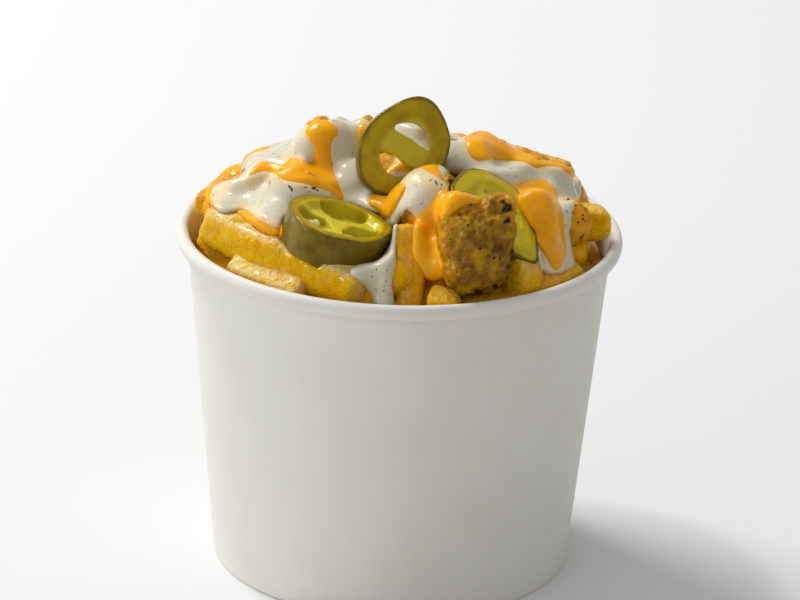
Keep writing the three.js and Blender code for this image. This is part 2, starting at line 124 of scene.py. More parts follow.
def fractal(points, size, seed=0, octaves=3):
    total, weight, sum_w = 0.0, 1.0, 0.0
    for k in range(octaves):
        total = total + weight * noise(points, size / 2 ** k, seed + 17 * k)
        sum_w += weight
        weight *= 0.5
    return total / sum_w


def round_min(a, b, size):
    """The lesser of two distances, with the crease between them rounded."""
    h = np.clip(0.5 + 0.5 * (b - a) / size, 0, 1)
    return b + (a - b) * h - size * h * (1 - h)


def round_max(a, b, size):
    return -round_min(-a, -b, size)


def vertex_normals(verts, faces):
    normals = np.zeros_like(verts)
    a, b, c = (verts[faces[:, i]] for i in (0, 1, 2))
    face_n = np.cross(b - a, c - a)
    if faces.shape[1] == 4:
        d = verts[faces[:, 3]]
        face_n = np.cross(c - a, d - b)
    for i in range(faces.shape[1]):
        np.add.at(normals, faces[:, i], face_n)
    return normals / np.maximum(np.linalg.norm(normals, axis=1, keepdims=True), 1e-12)


def make_piece(name, verts, faces, material, attributes=None, smooth=True):
    """A mesh object in metres that rides on the part."""
    mesh = bpy.data.meshes.new(name)
    face_lists = faces.tolist() if isinstance(faces, np.ndarray) else faces
    mesh.from_pydata((np.asarray(verts, float) * MM).tolist(), [], face_lists)
    mesh.polygons.foreach_set("use_smooth", [smooth] * len(mesh.polygons))
    for key, values in (attributes or {}).items():
        layer = mesh.attributes.new(key, "FLOAT", "POINT")
        full = np.broadcast_to(np.asarray(values, np.float32), (len(verts),))
        layer.data.foreach_set("value", np.ascontiguousarray(full))
    mesh.materials.append(material)
    mesh.update()
    piece = bpy.data.objects.new(name, mesh)
    bpy.context.scene.collection.objects.link(piece)
    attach(piece, "root")
    return piece


class Pile:
    """Collects meshes with their attributes, to be joined into one piece."""

    def __init__(self):
        self.verts, self.quads, self.tris, self.values, self.count = [], [], [], {}, 0

    def add(self, verts, quads=None, tris=None, **values):
        self.verts.append(verts)
        if quads is not None and len(quads):
            self.quads.append(np.asarray(quads) + self.count)
        if tris is not None and len(tris):
            self.tris.append(np.asarray(tris) + self.count)
        for key, value in values.items():
            full = np.broadcast_to(np.asarray(value, float), (len(verts),))
            self.values.setdefault(key, []).append(full)
        self.count += len(verts)

    def piece(self, name, material, slot, smooth=True):
        faces = []
        for group in self.quads + self.tris:
            faces.extend(group.tolist())
        joined = {k: np.concatenate(v) for k, v in self.values.items()}
        return make_piece(name, np.concatenate(self.verts), faces, material, joined, smooth)


# Camera geometry, also used to find what lies under a spot of the photo.
def camera_axes():
    e, r = math.radians(CAMERA["elevation"]), math.radians(CAMERA["roll"])
    forward = np.array([0, math.cos(e), -math.sin(e)])
    up = np.array([0, math.sin(e), math.cos(e)])
    right = np.array([1.0, 0, 0])
    turned_right = math.cos(r) * right + math.sin(r) * up
    turned_up = math.cos(r) * up - math.sin(r) * right
    place = np.array(CAMERA["aim"]) - forward * CAMERA["distance"]
    return place, turned_right, turned_up, forward


CAM_PLACE, CAM_RIGHT, CAM_UP, CAM_FORWARD = camera_axes()


def photo_ray(px, py):
    """The way from the camera through spots of the photo."""
    u = np.asarray((px - CAMERA["width_px"] / 2) / CAMERA["focal_px"])[..., None]
    v = np.asarray((py - CAMERA["height_px"] / 2) / CAMERA["focal_px"])[..., None]
    way = CAM_FORWARD + u * CAM_RIGHT - v * CAM_UP
    return way / np.linalg.norm(way, axis=-1, keepdims=True)


# Layout, with the same values as the solids.
SHOWN_FRIES = [
    # from, to, thick, turn, bend, pale: how creamy its upper face is
    ((-49.0, -12.2, 96.0), (-8.6, -48.2, 91.8), 11.2, 0.15, 1.2, 1.0),
    ((-42.4, -26.2, 88.6), (-24.0, -43.4, 87.2), 8.8, 0.5, 0.5, 1.0),
    ((-49.2, -8.0, 90.0), (-35.6, -33.0, 82.0), 8.6, 0.2, 0.0, 0.0),
    ((-17.0, -46.4, 84.5), (1.0, -49.0, 85.0), 8.6, 0.3, 0.0, 0.2),
    ((-50.0, 0.5, 94.6), (-24.0, -22.0, 100.4), 8.8, 0.2, 0.8, 0.2),
    ((-36.0, -25.0, 99.4), (-12.5, -36.4, 96.2), 8.8, 0.3, 0.6, 0.2),
    ((2.0, -38.0, 106.4), (2.6, -49.4, 78.0), 7.4, 0.1, 0.6, 0.1),
    ((11.4, -49.2, 92.6), (12.4, -46.2, 68.0), 8.4, 0.2, 0.4, 0.2),
    ((10.0, -38.0, 98.0), (14.0, -44.0, 76.0), 8.0, 0.5, 0.4, 0.0),
    ((-8.0, -42.0, 95.0), (-7.0, -47.6, 72.0), 8.0, 0.4, 0.4, 0.0),
    ((15.4, -46.6, 84.6), (32.5, -38.5, 84.0), 8.6, 0.4, 0.0, 0.0),
    ((29.6, -32.5, 98.0), (32.4, -37.4, 86.0), 9.4, 0.4, 0.5, 0.3),
    ((31.0, -37.0, 87.6), (45.8, -20.4, 87.4), 8.8, 0.3, 0.4, 0.25),
    ((27.0, -10.0, 98.0), (54.2, -4.4, 95.8), 8.6, 0.1, 0.6, 0.3),
    ((26.0, -24.0, 93.5), (47.8, -13.6, 89.6), 8.6, 0.6, 0.4, 0.0),
    ((-25.0, 1.0, 100.0), (-6.4, 5.4, 118.6), 7.6, 0.2, 0.5, 0.4),
    ((-9.0, 10.0, 104.0), (-19.6, 8.0, 115.6), 7.4, 0.5, 0.4, 0.8),
    ((22.0, 12.0, 107.4), (44.2, 5.0, 104.6), 8.2, 0.3, 0.5, 0.5),
]

FRONT_LOBES = [
    (0.5, -0.1, 0.85, 0.3, 0.42),
    (-0.62, -0.1, 0.78, 0.3, 0.38),
    (-0.1, -0.45, 0.9, -0.26, 0.4),
    (-0.8, -0.3, 0.45, 0.1, 0.5),
    (-0.5, -0.5, -0.6, 0.12, 0.7),
    (0.8, -0.4, -0.3, -0.1, 0.5),
]
CHICKEN = [
    # at, size, turn, seed
    ((20.0, -41.4, 101.8), (9.8, 8.2, 12.6), (-0.35, 0.1, 0.12), None),
    ((-21.2, -1.4, 112.2), (7.0, 6.6, 9.0), (0.1, 0.2, 0.3), 5),
    ((7.2, -25.2, 106.6), (9.6, 8.0, 8.6), (0.2, -0.2, 0.6), 8),
    ((-25.2, -14.6, 106.0), (9.4, 7.0, 6.4), (0.1, 0.1, -0.2), 11),
    ((43.6, -11.4, 96.4), (6.2, 6.2, 7.4), (0.2, 0.3, 0.1), 13),
    ((34.6, 4.0, 104.4), (11.4, 7.4, 5.8), (0.0, 0.32, 0.1), 17),
    ((20.8, 3.2, 108.6), (8.6, 7.6, 6.8), (0.3, 0.1, 0.4), 19),
    ((34.2, -20.8, 98.2), (7.4, 7.2, 9.4), (-0.3, 0.25, 0.3), 23),
    ((-12.0, 29.0, 99.5), (11.0, 8.6, 7.8), (0.3, 0.2, 0.5), 29),
    ((15.0, 32.5, 95.5), (9.4, 8.2, 8.6), (0.4, 0.1, -0.4), 37),
    ((39.0, 24.0, 92.8), (8.2, 9.2, 7.2), (0.2, 0.4, 0.3), 43),
]

JALAPENO = [
    dict(at=(0.4, -13.0, 117.4), facing=(0.22, -0.88, 0.42), up=(0.58, 0, 0.82),
         radius=14.0, squash=0.8, thick=4.2, flesh=6.4, holes=2, phase=-1.5),
    dict(at=(-16.3, -33.6, 100.9), facing=(0.24, -0.06, 0.97), up=(1, 0, 0),
         radius=13.8, squash=0.92, thick=9.8, flesh=3.2, holes=3, floor=1.2, sunk=1.7),
    dict(at=(24.6, -28.2, 104.6), facing=(0.5, -0.3, 0.81), up=(0.6, -0.6, -0.53),
         radius=15.8, squash=0.82, thick=4.2, flesh=8.0, holes=2, floor=1.1, narrow=0.5),
    dict(at=(-26.0, 28.0, 97.4), facing=(-0.42, 0.42, 0.8), up=(0, 1, 0),
         radius=12.6, squash=0.88, thick=4.4, flesh=3.8, holes=3),
    dict(at=(2.0, 24.0, 105.4), facing=(0.1, 0.5, 0.86), up=(1, 0, -0.1),
         radius=13.0, squash=0.86, thick=4.2, flesh=4.0, holes=2),
]


# Where the loose fries lie: the same rule as in the solids.
def loose_fries():
    draw = random_from(SEED)
    turn_step = math.pi * (3 - math.sqrt(5))
    fries = []
    for i in range(FRY["loose_count"]):
        reach = (HEAP["radius"] - 14) * math.sqrt((i + 0.5) / FRY["loose_count"])
        x, y = reach * math.cos(i * turn_step), reach * math.sin(i * turn_step)
        if y < FRONT_EDGE:
            continue
        depth = 4 + 9 * draw()
        heading = math.pi * 2 * draw()
        pitch = (0.5 * (draw() - 0.5)
                 - 0.35 * (reach / HEAP["radius"]) * math.cos(heading - i * turn_step))
        half = FRY["loose_length"] * lerp(0.36, 0.58, draw())
        middle = np.array([x, y, float(dome_height(x, y)) - depth])
        along = unit([math.cos(heading), math.sin(heading), pitch]) * half
        thick = FRY["thick"] * lerp(0.84, 1.06, draw())
        turn = math.pi * 0.5 * draw()
        bend = 3 * (draw() - 0.5)
        fries.append((middle - along, middle + along, thick, turn, bend, 0.3))
    return fries


def rim_fries():
    draw = random_from(SEED + 1)
    reach = TUB["wall_top"] - 7
    first, last = -0.12, math.pi + 0.1
    spread = (last - first) / FRY["rim_count"]
    fries = []
    for i in range(FRY["rim_count"]):
        start = first + spread * (i + lerp(-0.1, 0.1, draw()))
        end = start + spread * lerp(1.3, 1.7, draw())
        lift = 4.5 if i % 2 else -2.5
        z_end = 89 + lift + lerp(-3, 3, draw())
        thick = FRY["thick"] * lerp(0.9, 1.05, draw())
        turn = math.pi * 0.5 * draw()
        bend = lerp(-0.6, 0.6, draw())
        a = (reach * math.cos(start), reach * math.sin(start), 89 + lift)
        b = (reach * math.cos(end), reach * math.sin(end), z_end)
        fries.append((a, b, thick, turn, bend, 0.5))
    return fries


def closest_shares(p1, q1, p2, q2):
    d1, d2, r = q1 - p1, q2 - p2, p1 - p2
    a, e, b, c, f = d1 @ d1, d2 @ d2, d1 @ d2, d1 @ r, d2 @ r
    denominator = max(a * e - b * b, 1e-9)
    s = min(max((b * f - c * e) / denominator, 0.0), 1.0)
    t = min(max((b * s + f) / e, 0.0), 1.0)
    s = min(max((b * t - c) / a, 0.0), 1.0)
    return s, t


def settle_fries(laid, loose, stops):
    """Pushes the loose fries apart, off the laid ones and the chicken, and back into the heap."""
    rounds, hold = 60, 0.47
    rods = [dict(a=np.array(f[0], float), b=np.array(f[1], float), radius=f[2] * hold,
                 free=i >= len(laid)) for i, f in enumerate(list(laid) + list(loose))]

    def at(rod, s):
        return rod["a"] + (rod["b"] - rod["a"]) * s

    def shift(rod, s, push):
        rod["a"] += push * (1 - s)
        rod["b"] += push * s

    for _ in range(rounds):
        for i, first in enumerate(rods):
            for j in range(max(i + 1, len(laid)), len(rods)):
                other = rods[j]
                s, t = closest_shares(first["a"], first["b"], other["a"], other["b"])
                apart = at(other, t) - at(first, s)
                length = math.sqrt(apart @ apart)
                overlap = first["radius"] + other["radius"] - length
                if overlap <= 0:
                    continue
                apart *= overlap * (0.5 if first["free"] else 1.0) / max(length, 1e-9)
                shift(other, t, apart)
                if first["free"]:
                    shift(first, s, -apart)
        for rod in rods[len(laid):]:
            for centre, radius in stops:
                tiny = centre + 1e-4
                s, _t = closest_shares(rod["a"], rod["b"], centre, tiny)
                apart = at(rod, s) - centre
                length = math.sqrt(apart @ apart)
                overlap = rod["radius"] + radius - length
                if overlap > 0:
                    shift(rod, s, apart * overlap / max(length, 1e-9))
            for end in (rod["a"], rod["b"]):
                room = (wall_radius(min(end[2], TUB["height"])) - TUB["paper"] - GAP
                        - 1.1 * rod["radius"])
                reach = math.hypot(end[0], end[1])
                if reach > room:
                    end[0] *= room / reach
                    end[1] *= room / reach
                end[2] = min(end[2], float(dome_height(end[0], end[1])) - 0.6 * rod["radius"])
    settled = []
    for rod, fry in zip(rods[len(laid):], loose):
        # One that was squeezed to less than its own thickness is left out.
        if np.linalg.norm(rod["b"] - rod["a"]) > fry[2]:
            settled.append((rod["a"], rod["b"]) + tuple(fry[2:]))
    return settled


# Under the fries that the solids show, shorter ones fill the gaps down to the core.
def under_fries(count, depth):
    draw = random_from(SEED + 7)
    turn_step = math.pi * (3 - math.sqrt(5))
    fries = []
    for i in range(count):
        reach = 44.0 * math.sqrt((i + 0.5) / count)
        x, y = reach * math.cos(i * turn_step), reach * math.sin(i * turn_step)
        heading = math.pi * 2 * draw()
        half = lerp(8.0, 15.0, draw())
        middle = np.array([x, y, float(dome_height(x, y)) - depth - 4 * draw()])
        along = unit([math.cos(heading), math.sin(heading), 0.5 * (draw() - 0.5)]) * half
        ends = [middle - along, middle + along]
        for end in ends:
            room = wall_radius(min(end[2], TUB["height"])) - 7.0
            reach_end = math.hypot(end[0], end[1])
            if reach_end > room:
                end[:2] *= room / reach_end
        thick, turn = FRY["thick"] * lerp(0.85, 1.0, draw()), math.pi * 0.5 * draw()
        under_slice = any(math.hypot(x - item["at"][0], y - item["at"][1]) < item["radius"] + 4
                          for item in JALAPENO[:3])
        if not under_slice:
            fries.append((ends[0], ends[1], thick, turn, 0.0, 0.0))
    return fries


def fry_frame(fry):
    """Middle, length and the three axes of a fry: across, along and the other across."""
    start, end = np.array(fry[0], float), np.array(fry[1], float)
    along = end - start
    length = np.linalg.norm(along)
    facing = Vector((0, 1, 0)).rotation_difference(Vector(along / length)).to_matrix()
    turned = facing @ Matrix.Rotation(fry[3], 3, "Y")
    axes = np.array(turned)
    return (start + end) / 2, length, axes


SUPER = 4.2  # exponent of the fry's rounded square section


def add_fry(pile, fry, seed, spacing, around):
    middle, length, axes = fry_frame(fry)
    _, _, thick, _, bend, pale = fry
    half = thick / 2 * 0.99
    theta = np.arange(around) / around * 2 * math.pi + 0.3 * np.sin(
        4 * np.arange(around) / around * 2 * math.pi) / 4
    s, c = np.sin(theta), np.cos(theta)
    section = 1.0 / (np.abs(s) ** SUPER + np.abs(c) ** SUPER) ** (1 / SUPER)
    cap = [(0.0, 0.25), (0.12, 0.55), (0.45, 0.80), (1.1, 0.94), (2.2, 1.0)]
    inner = max(2, int((length - 4.4) / spacing))
    stations = [(-length / 2 + d, k) for d, k in cap]
    stations += [(-length / 2 + 2.2 + (length - 4.4) * i / inner, 1.0) for i in range(1, inner)]
    stations += [(length / 2 - d, k) for d, k in reversed(cap)]
    y = np.array([p[0] for p in stations])[:, None]
    k = np.array([p[1] for p in stations])[:, None]
    slant = 0.5 * np.array([math.sin(seed * 2.1), math.cos(seed * 1.3)])
    share = y / length + 0.5
    taper = 1 - 0.1 * np.abs(2 * share - 1) ** 4
    sway = 0.5 * np.sin(share * 5 + seed) * (1 - np.abs(2 * share - 1))
    x_local = s * section * half * k * taper
    z_local = c * section * half * k * taper
    end_share = np.abs(2 * share - 1) ** 8
    y_local = y + end_share * (slant[0] * x_local + slant[1] * z_local) * 0.5
    x_local = x_local + bend * (1 - (2 * share - 1) ** 2) + sway
    local = np.stack(np.broadcast_arrays(x_local, y_local, z_local), -1).reshape(-1, 3)
    rings = len(stations)
    verts = middle + local @ axes.T
    quads = []
    for r in range(rings - 1):
        a = r * around + np.arange(around)
        b = r * around + (np.arange(around) + 1) % around
        quads.append(np.stack([a, b, b + around, a + around], 1))
    quads = np.concatenate(quads)
    verts = np.vstack([verts, verts[:around].mean(0), verts[-around:].mean(0)])
    tris = []
    n = rings * around
    for j in range(around):
        tris.append((n, (j + 1) % around, j))
        last = (rings - 1) * around
        tris.append((n + 1, last + j, last + (j + 1) % around))
    normals = vertex_normals(verts, quads)
    relief = 0.55 * noise(verts, 8.0, seed) + 0.4 * fractal(verts, 3.2, seed + 3)
    relief = relief + 0.12 * noise(verts, 1.2, seed + 4) - 0.12
    verts = verts + normals * relief[:, None]
    corner = np.append(np.broadcast_to((section - 1) / 0.19, (rings, around)).ravel(), [0, 0])
    ends = np.append(np.broadcast_to(end_share, (rings, around)).ravel(), [1, 1])
    rough = fractal(verts, 5.0, seed + 5)
    cream = pale * smoothstep(0.2, 0.75, normals[:, 2] + 0.3 * rough)
    cream = np.maximum(cream, 0.4 * pale * smoothstep(0.6, 1.0, ends))
    brown = smoothstep(0.6, 1.3, corner * 0.6 + ends * 0.4 + 0.6 * rough)
    pile.add(verts, quads, tris, cream=cream, brown=brown, shade=0.5 + 0.5 * math.sin(seed * 12.9))


# Signed distance to the food, on a grid.
STEP = 0.5
LOW = np.array([-60.0, -60.0, 70.0])
SHAPE = (241, 241, 129)
AXES = [LOW[i] + STEP * np.arange(SHAPE[i]) for i in range(3)]


def sub_grid(lo, hi):
    """Slices and points of the part of the grid inside a box."""
    first = np.clip(np.floor((np.asarray(lo) - LOW) / STEP).astype(int), 0, np.array(SHAPE) - 1)
    last = np.clip(np.ceil((np.asarray(hi) - LOW) / STEP).astype(int) + 1, 1, np.array(SHAPE))
    slices = tuple(slice(a, b) for a, b in zip(first, last))
    points = np.stack(np.meshgrid(*(AXES[i][slices[i]] for i in range(3)), indexing="ij"), -1)
    return slices, points


def fry_distance(points, fry):
    middle, length, axes = fry_frame(fry)
    half, rounding = fry[2] / 2 * 0.97, 1.7
    q = (points - middle) @ axes
    share = np.clip(q[..., 1] / length + 0.5, 0, 1)
    q[..., 0] -= fry[4] * (1 - (2 * share - 1) ** 2)
    d = np.abs(q) - (np.array([half, length / 2, half]) - rounding)
    outside = np.linalg.norm(np.maximum(d, 0), axis=-1)
    return outside + np.minimum(d.max(-1), 0) - rounding


def random_lobes(seed):
    draw = random_from(seed)
    return [(draw() - 0.5, draw() - 0.5, draw() - 0.5, lerp(-0.26, 0.3, draw()),
             lerp(0.35, 0.7, draw())) for _ in range(8)]


def lobes_of(piece):
    return FRONT_LOBES if piece[3] is None else random_lobes(piece[3])


def lump_reach(ways, lobes):
    reach = np.ones(ways.shape[:-1])
    for x, y, z, depth, width in lobes:
        angle = np.arccos(np.clip(ways @ unit((x, y, z)), -1, 1)) / width
        reach = reach + depth * np.exp(-angle * angle)
    return reach


def euler_matrix(turn):
    cx, cy, cz = (math.cos(t) for t in turn)
    sx, sy, sz = (math.sin(t) for t in turn)
    rx = np.array([[1, 0, 0], [0, cx, -sx], [0, sx, cx]])
    ry = np.array([[cy, 0, sy], [0, 1, 0], [-sy, 0, cy]])
    rz = np.array([[cz, -sz, 0], [sz, cz, 0], [0, 0, 1]])
    return rx @ ry @ rz


def chicken_distance(points, piece):
    at, size, turn, _ = piece
    q = (points - np.array(at)) @ euler_matrix(turn)
    scaled = q / np.array(size)
    far = np.maximum(np.linalg.norm(scaled, axis=-1), 1e-6)
    ways = scaled / far[..., None]
    local = np.linalg.norm(q, axis=-1) / far
    return (far - lump_reach(ways, lobes_of(piece))) * local


def food_distance(fries):
    x, y, z = np.meshgrid(*AXES, indexing="ij")
    core = (z - (dome_height(x, y) - 10.5)) * 0.85
    core = np.maximum(core, np.hypot(x, y) - 53.0).astype(np.float32)
    field = core
    margin = 6.0
    for fry in fries:
        ends = np.array([fry[0], fry[1]], float)
        pad = fry[2] + margin
        slices, points = sub_grid(ends.min(0) - pad, ends.max(0) + pad)
        if points.size:
            field[slices] = np.minimum(field[slices], fry_distance(points, fry))
    for piece in CHICKEN:
        at, pad = np.array(piece[0]), max(piece[1]) * 1.3 + margin
        slices, points = sub_grid(at - pad, at + pad)
        field[slices] = np.minimum(field[slices], chicken_distance(points, piece))
    for item in JALAPENO:
        at, pad = np.array(item["at"]), item["radius"] + margin
        slices, points = sub_grid(at - pad, at + pad)
        field[slices] = np.maximum(field[slices], 0.2 - slice_hull(points, item))
    return field


def box_blur(field, width):
    """Three box filters in a row along each axis: close to a Gaussian."""
    half = width // 2
    for _ in range(3):
        for axis in range(3):
            pads = [(0, 0)] * 3
            pads[axis] = (half + 1, half)
            total = np.cumsum(np.pad(field, pads, mode="edge"), axis=axis, dtype=np.float64)
            n = field.shape[axis]
            upper = np.take(total, np.arange(width, width + n), axis=axis)
            lower = np.take(total, np.arange(0, n), axis=axis)
            field = ((upper - lower) / width).astype(np.float32)
    return field


def sample(field, points):
    """Value of a grid at each point, between its nearest cells."""
    q = (np.asarray(points, float) - LOW) / STEP
    q = np.clip(q, 0, np.array(SHAPE) - 1.001)
    cell = q.astype(int)
    f = q - cell
    total = 0.0
    for dx in (0, 1):
        for dy in (0, 1):
            for dz in (0, 1):
                w = (np.where(dx, f[..., 0], 1 - f[..., 0]) * np.where(dy, f[..., 1], 1 - f[..., 1])
                     * np.where(dz, f[..., 2], 1 - f[..., 2]))
                total = total + w * field[cell[..., 0] + dx, cell[..., 1] + dy, cell[..., 2] + dz]
    return total


def surface_mesh(field, low, step):
    """Vertices in mm and quads of the surface where the field passes through zero."""
    band = 2.0
    grid = openvdb.FloatGrid(band)
    grid.copyFromArray(np.clip(field, -band, band).astype(np.float32))
    points, _, quads = grid.convertToPolygons(isovalue=0.0)
    points, quads = np.array(points, float), np.array(quads, int)
    verts = points * step + np.asarray(low)
    a, b, c = verts[quads[:, 0]], verts[quads[:, 1]], verts[quads[:, 2]]
    centre = verts.mean(0)
    if np.einsum("ij,ij->i", a - centre, np.cross(b - centre, c - centre)).sum() < 0:
        quads = quads[:, ::-1]
    return verts, quads


# Sauces. A patch of sauce is (thickness in mm, outline), where the outline is where its edge
# runs in the photo, in pixels: the sauce lies on the food that is seen inside it.
WHITE_LOW = [
    (1.2, [(246, 178), (248, 166), (252, 158), (262, 150), (280, 142), (292, 134), (306, 128),
           (312, 140), (310, 156), (300, 164), (280, 170), (262, 170)]),
    (1.5, [(330, 112), (345, 114), (362, 120), (366, 130), (366, 150), (376, 160), (378, 180),
           (376, 200), (376, 212), (366, 212), (356, 208), (342, 204), (336, 190), (331, 178),
           (329, 166), (331, 152), (336, 140), (334, 126)]),
    (1.6, [(440, 128), (455, 135), (464, 140), (470, 150), (478, 160), (490, 160), (505, 163),
           (522, 165), (531, 170), (540, 172), (556, 170), (564, 175), (572, 182), (581, 191),
           (579, 200), (574, 211), (571, 222), (570, 236), (571, 250), (574, 262), (574, 271),
           (555, 271), (550, 262), (548, 240), (546, 215), (538, 196), (520, 196), (505, 190),
           (490, 188), (470, 178), (452, 174), (441, 176), (438, 160), (442, 146)]),
    (1.3, [(527, 226), (533, 230), (541, 236), (552, 244), (562, 262), (556, 272), (539, 272),
           (536, 260), (532, 246)]),
    (1.3, [(394, 116), (414, 112), (430, 128), (428, 152), (412, 160), (396, 158), (388, 140)]),
]
CHEESE_LOW = [
    (1.8, [(305, 130), (311, 122), (319, 118), (327, 121), (335, 125), (340, 130), (338, 136),
           (332, 140), (332, 150), (334, 164), (336, 176), (341, 188), (345, 196), (340, 198),
           (332, 188), (324, 177), (315, 166), (313, 155), (312, 145), (306, 139)]),
    (0.5, [(276, 170), (290, 166), (303, 165), (313, 164), (322, 170), (330, 182), (338, 194),
           (330, 191), (320, 187), (308, 184), (292, 182), (280, 178)]),
    (1.2, [(248, 178), (252, 168), (259, 162), (268, 161), (280, 164), (292, 166), (284, 171),
           (272, 172), (260, 174), (252, 178)]),
    (1.2, [(286, 161), (293, 156), (302, 157), (308, 162), (302, 168), (290, 167)]),
    (2.2, [(356, 128), (361, 122), (370, 122), (382, 124), (380, 134), (374, 142), (367, 149),
           (361, 150), (356, 143), (355, 135)]),
    (1.6, [(386, 178), (390, 168), (398, 160), (408, 156), (418, 151), (427, 153), (437, 158),
           (441, 166), (441, 178), (446, 186), (436, 184), (420, 178), (400, 176)]),
    (1.8, [(463, 138), (472, 133), (480, 128), (489, 127), (495, 135), (503, 140), (512, 144),
           (522, 150), (534, 156), (546, 161), (556, 162), (564, 165), (572, 166), (580, 168),
           (582, 178), (580, 184), (571, 178), (562, 172), (552, 169), (544, 169), (535, 169),
           (529, 166), (521, 163), (510, 162), (499, 162), (490, 161), (480, 162), (473, 161),
           (468, 154), (465, 146)]),
    (2.0, [(503, 186), (515, 182), (528, 180), (541, 180), (550, 183), (556, 189), (560, 199),
           (563, 211), (564, 227), (565, 242), (567, 255), (564, 266), (557, 273), (550, 270),
           (546, 262), (541, 253), (535, 245), (528, 238), (522, 230), (516, 220), (509, 206),
           (503, 196)]),
    (0.7, [(240, 212), (248, 213), (254, 217), (260, 221), (267, 225), (275, 228), (281, 230),
           (281, 234), (275, 236), (267, 233), (259, 228), (250, 223), (243, 218)]),
    (0.6, [(206, 199), (208, 190), (212, 185), (218, 182), (220, 188), (214, 196), (213, 204)]),
]
WHITE_HIGH = [
    (2.0, [(210, 196), (213, 188), (221, 182), (232, 179), (246, 176), (257, 173), (267, 171),
           (276, 174), (282, 179), (292, 181), (306, 182), (318, 186), (330, 192), (340, 199),
           (344, 204), (330, 204), (312, 206), (298, 208), (292, 218), (286, 230), (283, 239),
           (279, 230), (270, 227), (262, 223), (254, 218), (248, 213), (240, 211), (230, 214),
           (221, 214), (215, 209), (211, 203)]),
    (2.2, [(376, 191), (382, 181), (388, 173), (396, 166), (406, 165), (414, 165), (423, 168),
           (431, 173), (438, 178), (444, 184), (449, 188), (444, 194), (437, 197), (435, 202),
           (430, 207), (424, 211), (418, 214), (412, 213), (406, 214), (401, 218), (399, 226),
           (397, 237), (396, 250), (395, 268), (393, 286), (392, 308), (377, 308), (372, 297),
           (366, 287), (358, 280), (350, 271), (357, 265), (364, 258), (370, 250), (375, 245),
           (377, 239), (377, 233), (384, 229), (389, 224), (392, 216), (396, 208), (401, 200),
           (404, 192), (405, 186), (398, 184), (388, 185), (380, 189)]),
    (2.0, [(250, 205), (257, 198), (266, 196), (273, 201), (277, 211), (276, 222), (268, 226),
           (260, 221), (253, 213)]),
]
CHEESE_HIGH = [
    (3.0, [(367, 203), (369, 196), (374, 190), (382, 185), (391, 183), (400, 182), (407, 184),
           (406, 190), (401, 201), (396, 210), (391, 218), (389, 223), (384, 222), (380, 214),
           (376, 209), (370, 207)]),
    (1.0, [(375, 234), (380, 228), (387, 222), (391, 222), (388, 227), (381, 232)]),
    (2.4, [(431, 210), (433, 198), (439, 191), (446, 187), (453, 185), (461, 186), (469, 189),
           (476, 193), (482, 199), (481, 205), (472, 204), (464, 206), (457, 211), (450, 217),
           (444, 224), (440, 230), (436, 226), (433, 217)]),
    (1.2, [(413, 228), (416, 218), (422, 212), (430, 204), (438, 202), (442, 212), (441, 226),
           (440, 238), (441, 250), (444, 262), (447, 269), (445, 276), (438, 280), (430, 280),
           (424, 276), (418, 268), (413, 258), (412, 244)]),
]
# On the back and the sides, each run is a row of (x, y, half-width) in mm of the plan.
BACK_WHITE = [
    [(5, 14, 3), (-4, 22, 4.6), (-8, 34, 5), (-8, 47, 4.4)],
    [(13, 15, 3), (22, 22, 4.6), (28, 31, 5), (31, 43, 4)],
    [(-30, 12, 3.4), (-38, 19, 4.6), (-44, 22, 4)],
    [(20, 16, 2), (34, 15, 3), (44, 16, 3)],
]
BACK_CHEESE = [
    [(-14, 22, 3.4), (-15, 28, 5.0), (-20, 40, 4.4), (-22, 48, 3)],
    [(9, 27, 3.4), (14, 32, 5), (13, 44, 4.2), (10, 51, 2.6)],
    [(34, 26, 3.6), (42, 24, 4.6), (49, 20, 3)],
    [(-36, 10, 3), (-42, 13, 3.4), (-50, 11, 2.4)],
]
VIEW_X = np.arange(176, 632, 2.0)
VIEW_Y = np.arange(88, 318, 2.0)


def photo_spots(points):
    """Where points fall in the photo, in pixels, and how far they are from the camera."""
    away = np.asarray(points, float) - CAM_PLACE
    depth = away @ CAM_FORWARD
    px = CAMERA["width_px"] / 2 + CAMERA["focal_px"] * (away @ CAM_RIGHT) / depth
    py = CAMERA["height_px"] / 2 - CAMERA["focal_px"] * (away @ CAM_UP) / depth
    return px, py, np.linalg.norm(away, axis=-1)


def sample_view(grid, px, py):
    """Value of a grid over the view at places in the photo."""
    i = np.clip((px - VIEW_X[0]) / 2, 0, len(VIEW_X) - 1.001)
    j = np.clip((py - VIEW_Y[0]) / 2, 0, len(VIEW_Y) - 1.001)
    a, b = i.astype(int), j.astype(int)
    u, v = i - a, j - b
    return (grid[a, b] * (1 - u) * (1 - v) + grid[a + 1, b] * u * (1 - v)
            + grid[a, b + 1] * (1 - u) * v + grid[a + 1, b + 1] * u * v)


def smooth_outline(spots, per_edge=4):
    p = np.array(spots, float)
    before, after, beyond = np.roll(p, 1, 0), np.roll(p, -1, 0), np.roll(p, -2, 0)
    t = (np.arange(per_edge) / per_edge)[:, None, None]
    curve = 0.5 * (2 * p + (after - before) * t
                   + (2 * before - 5 * p + 4 * after - beyond) * t ** 2
                   + (3 * p - before - 3 * after + beyond) * t ** 3)
    return curve.transpose(1, 0, 2).reshape(-1, 2)


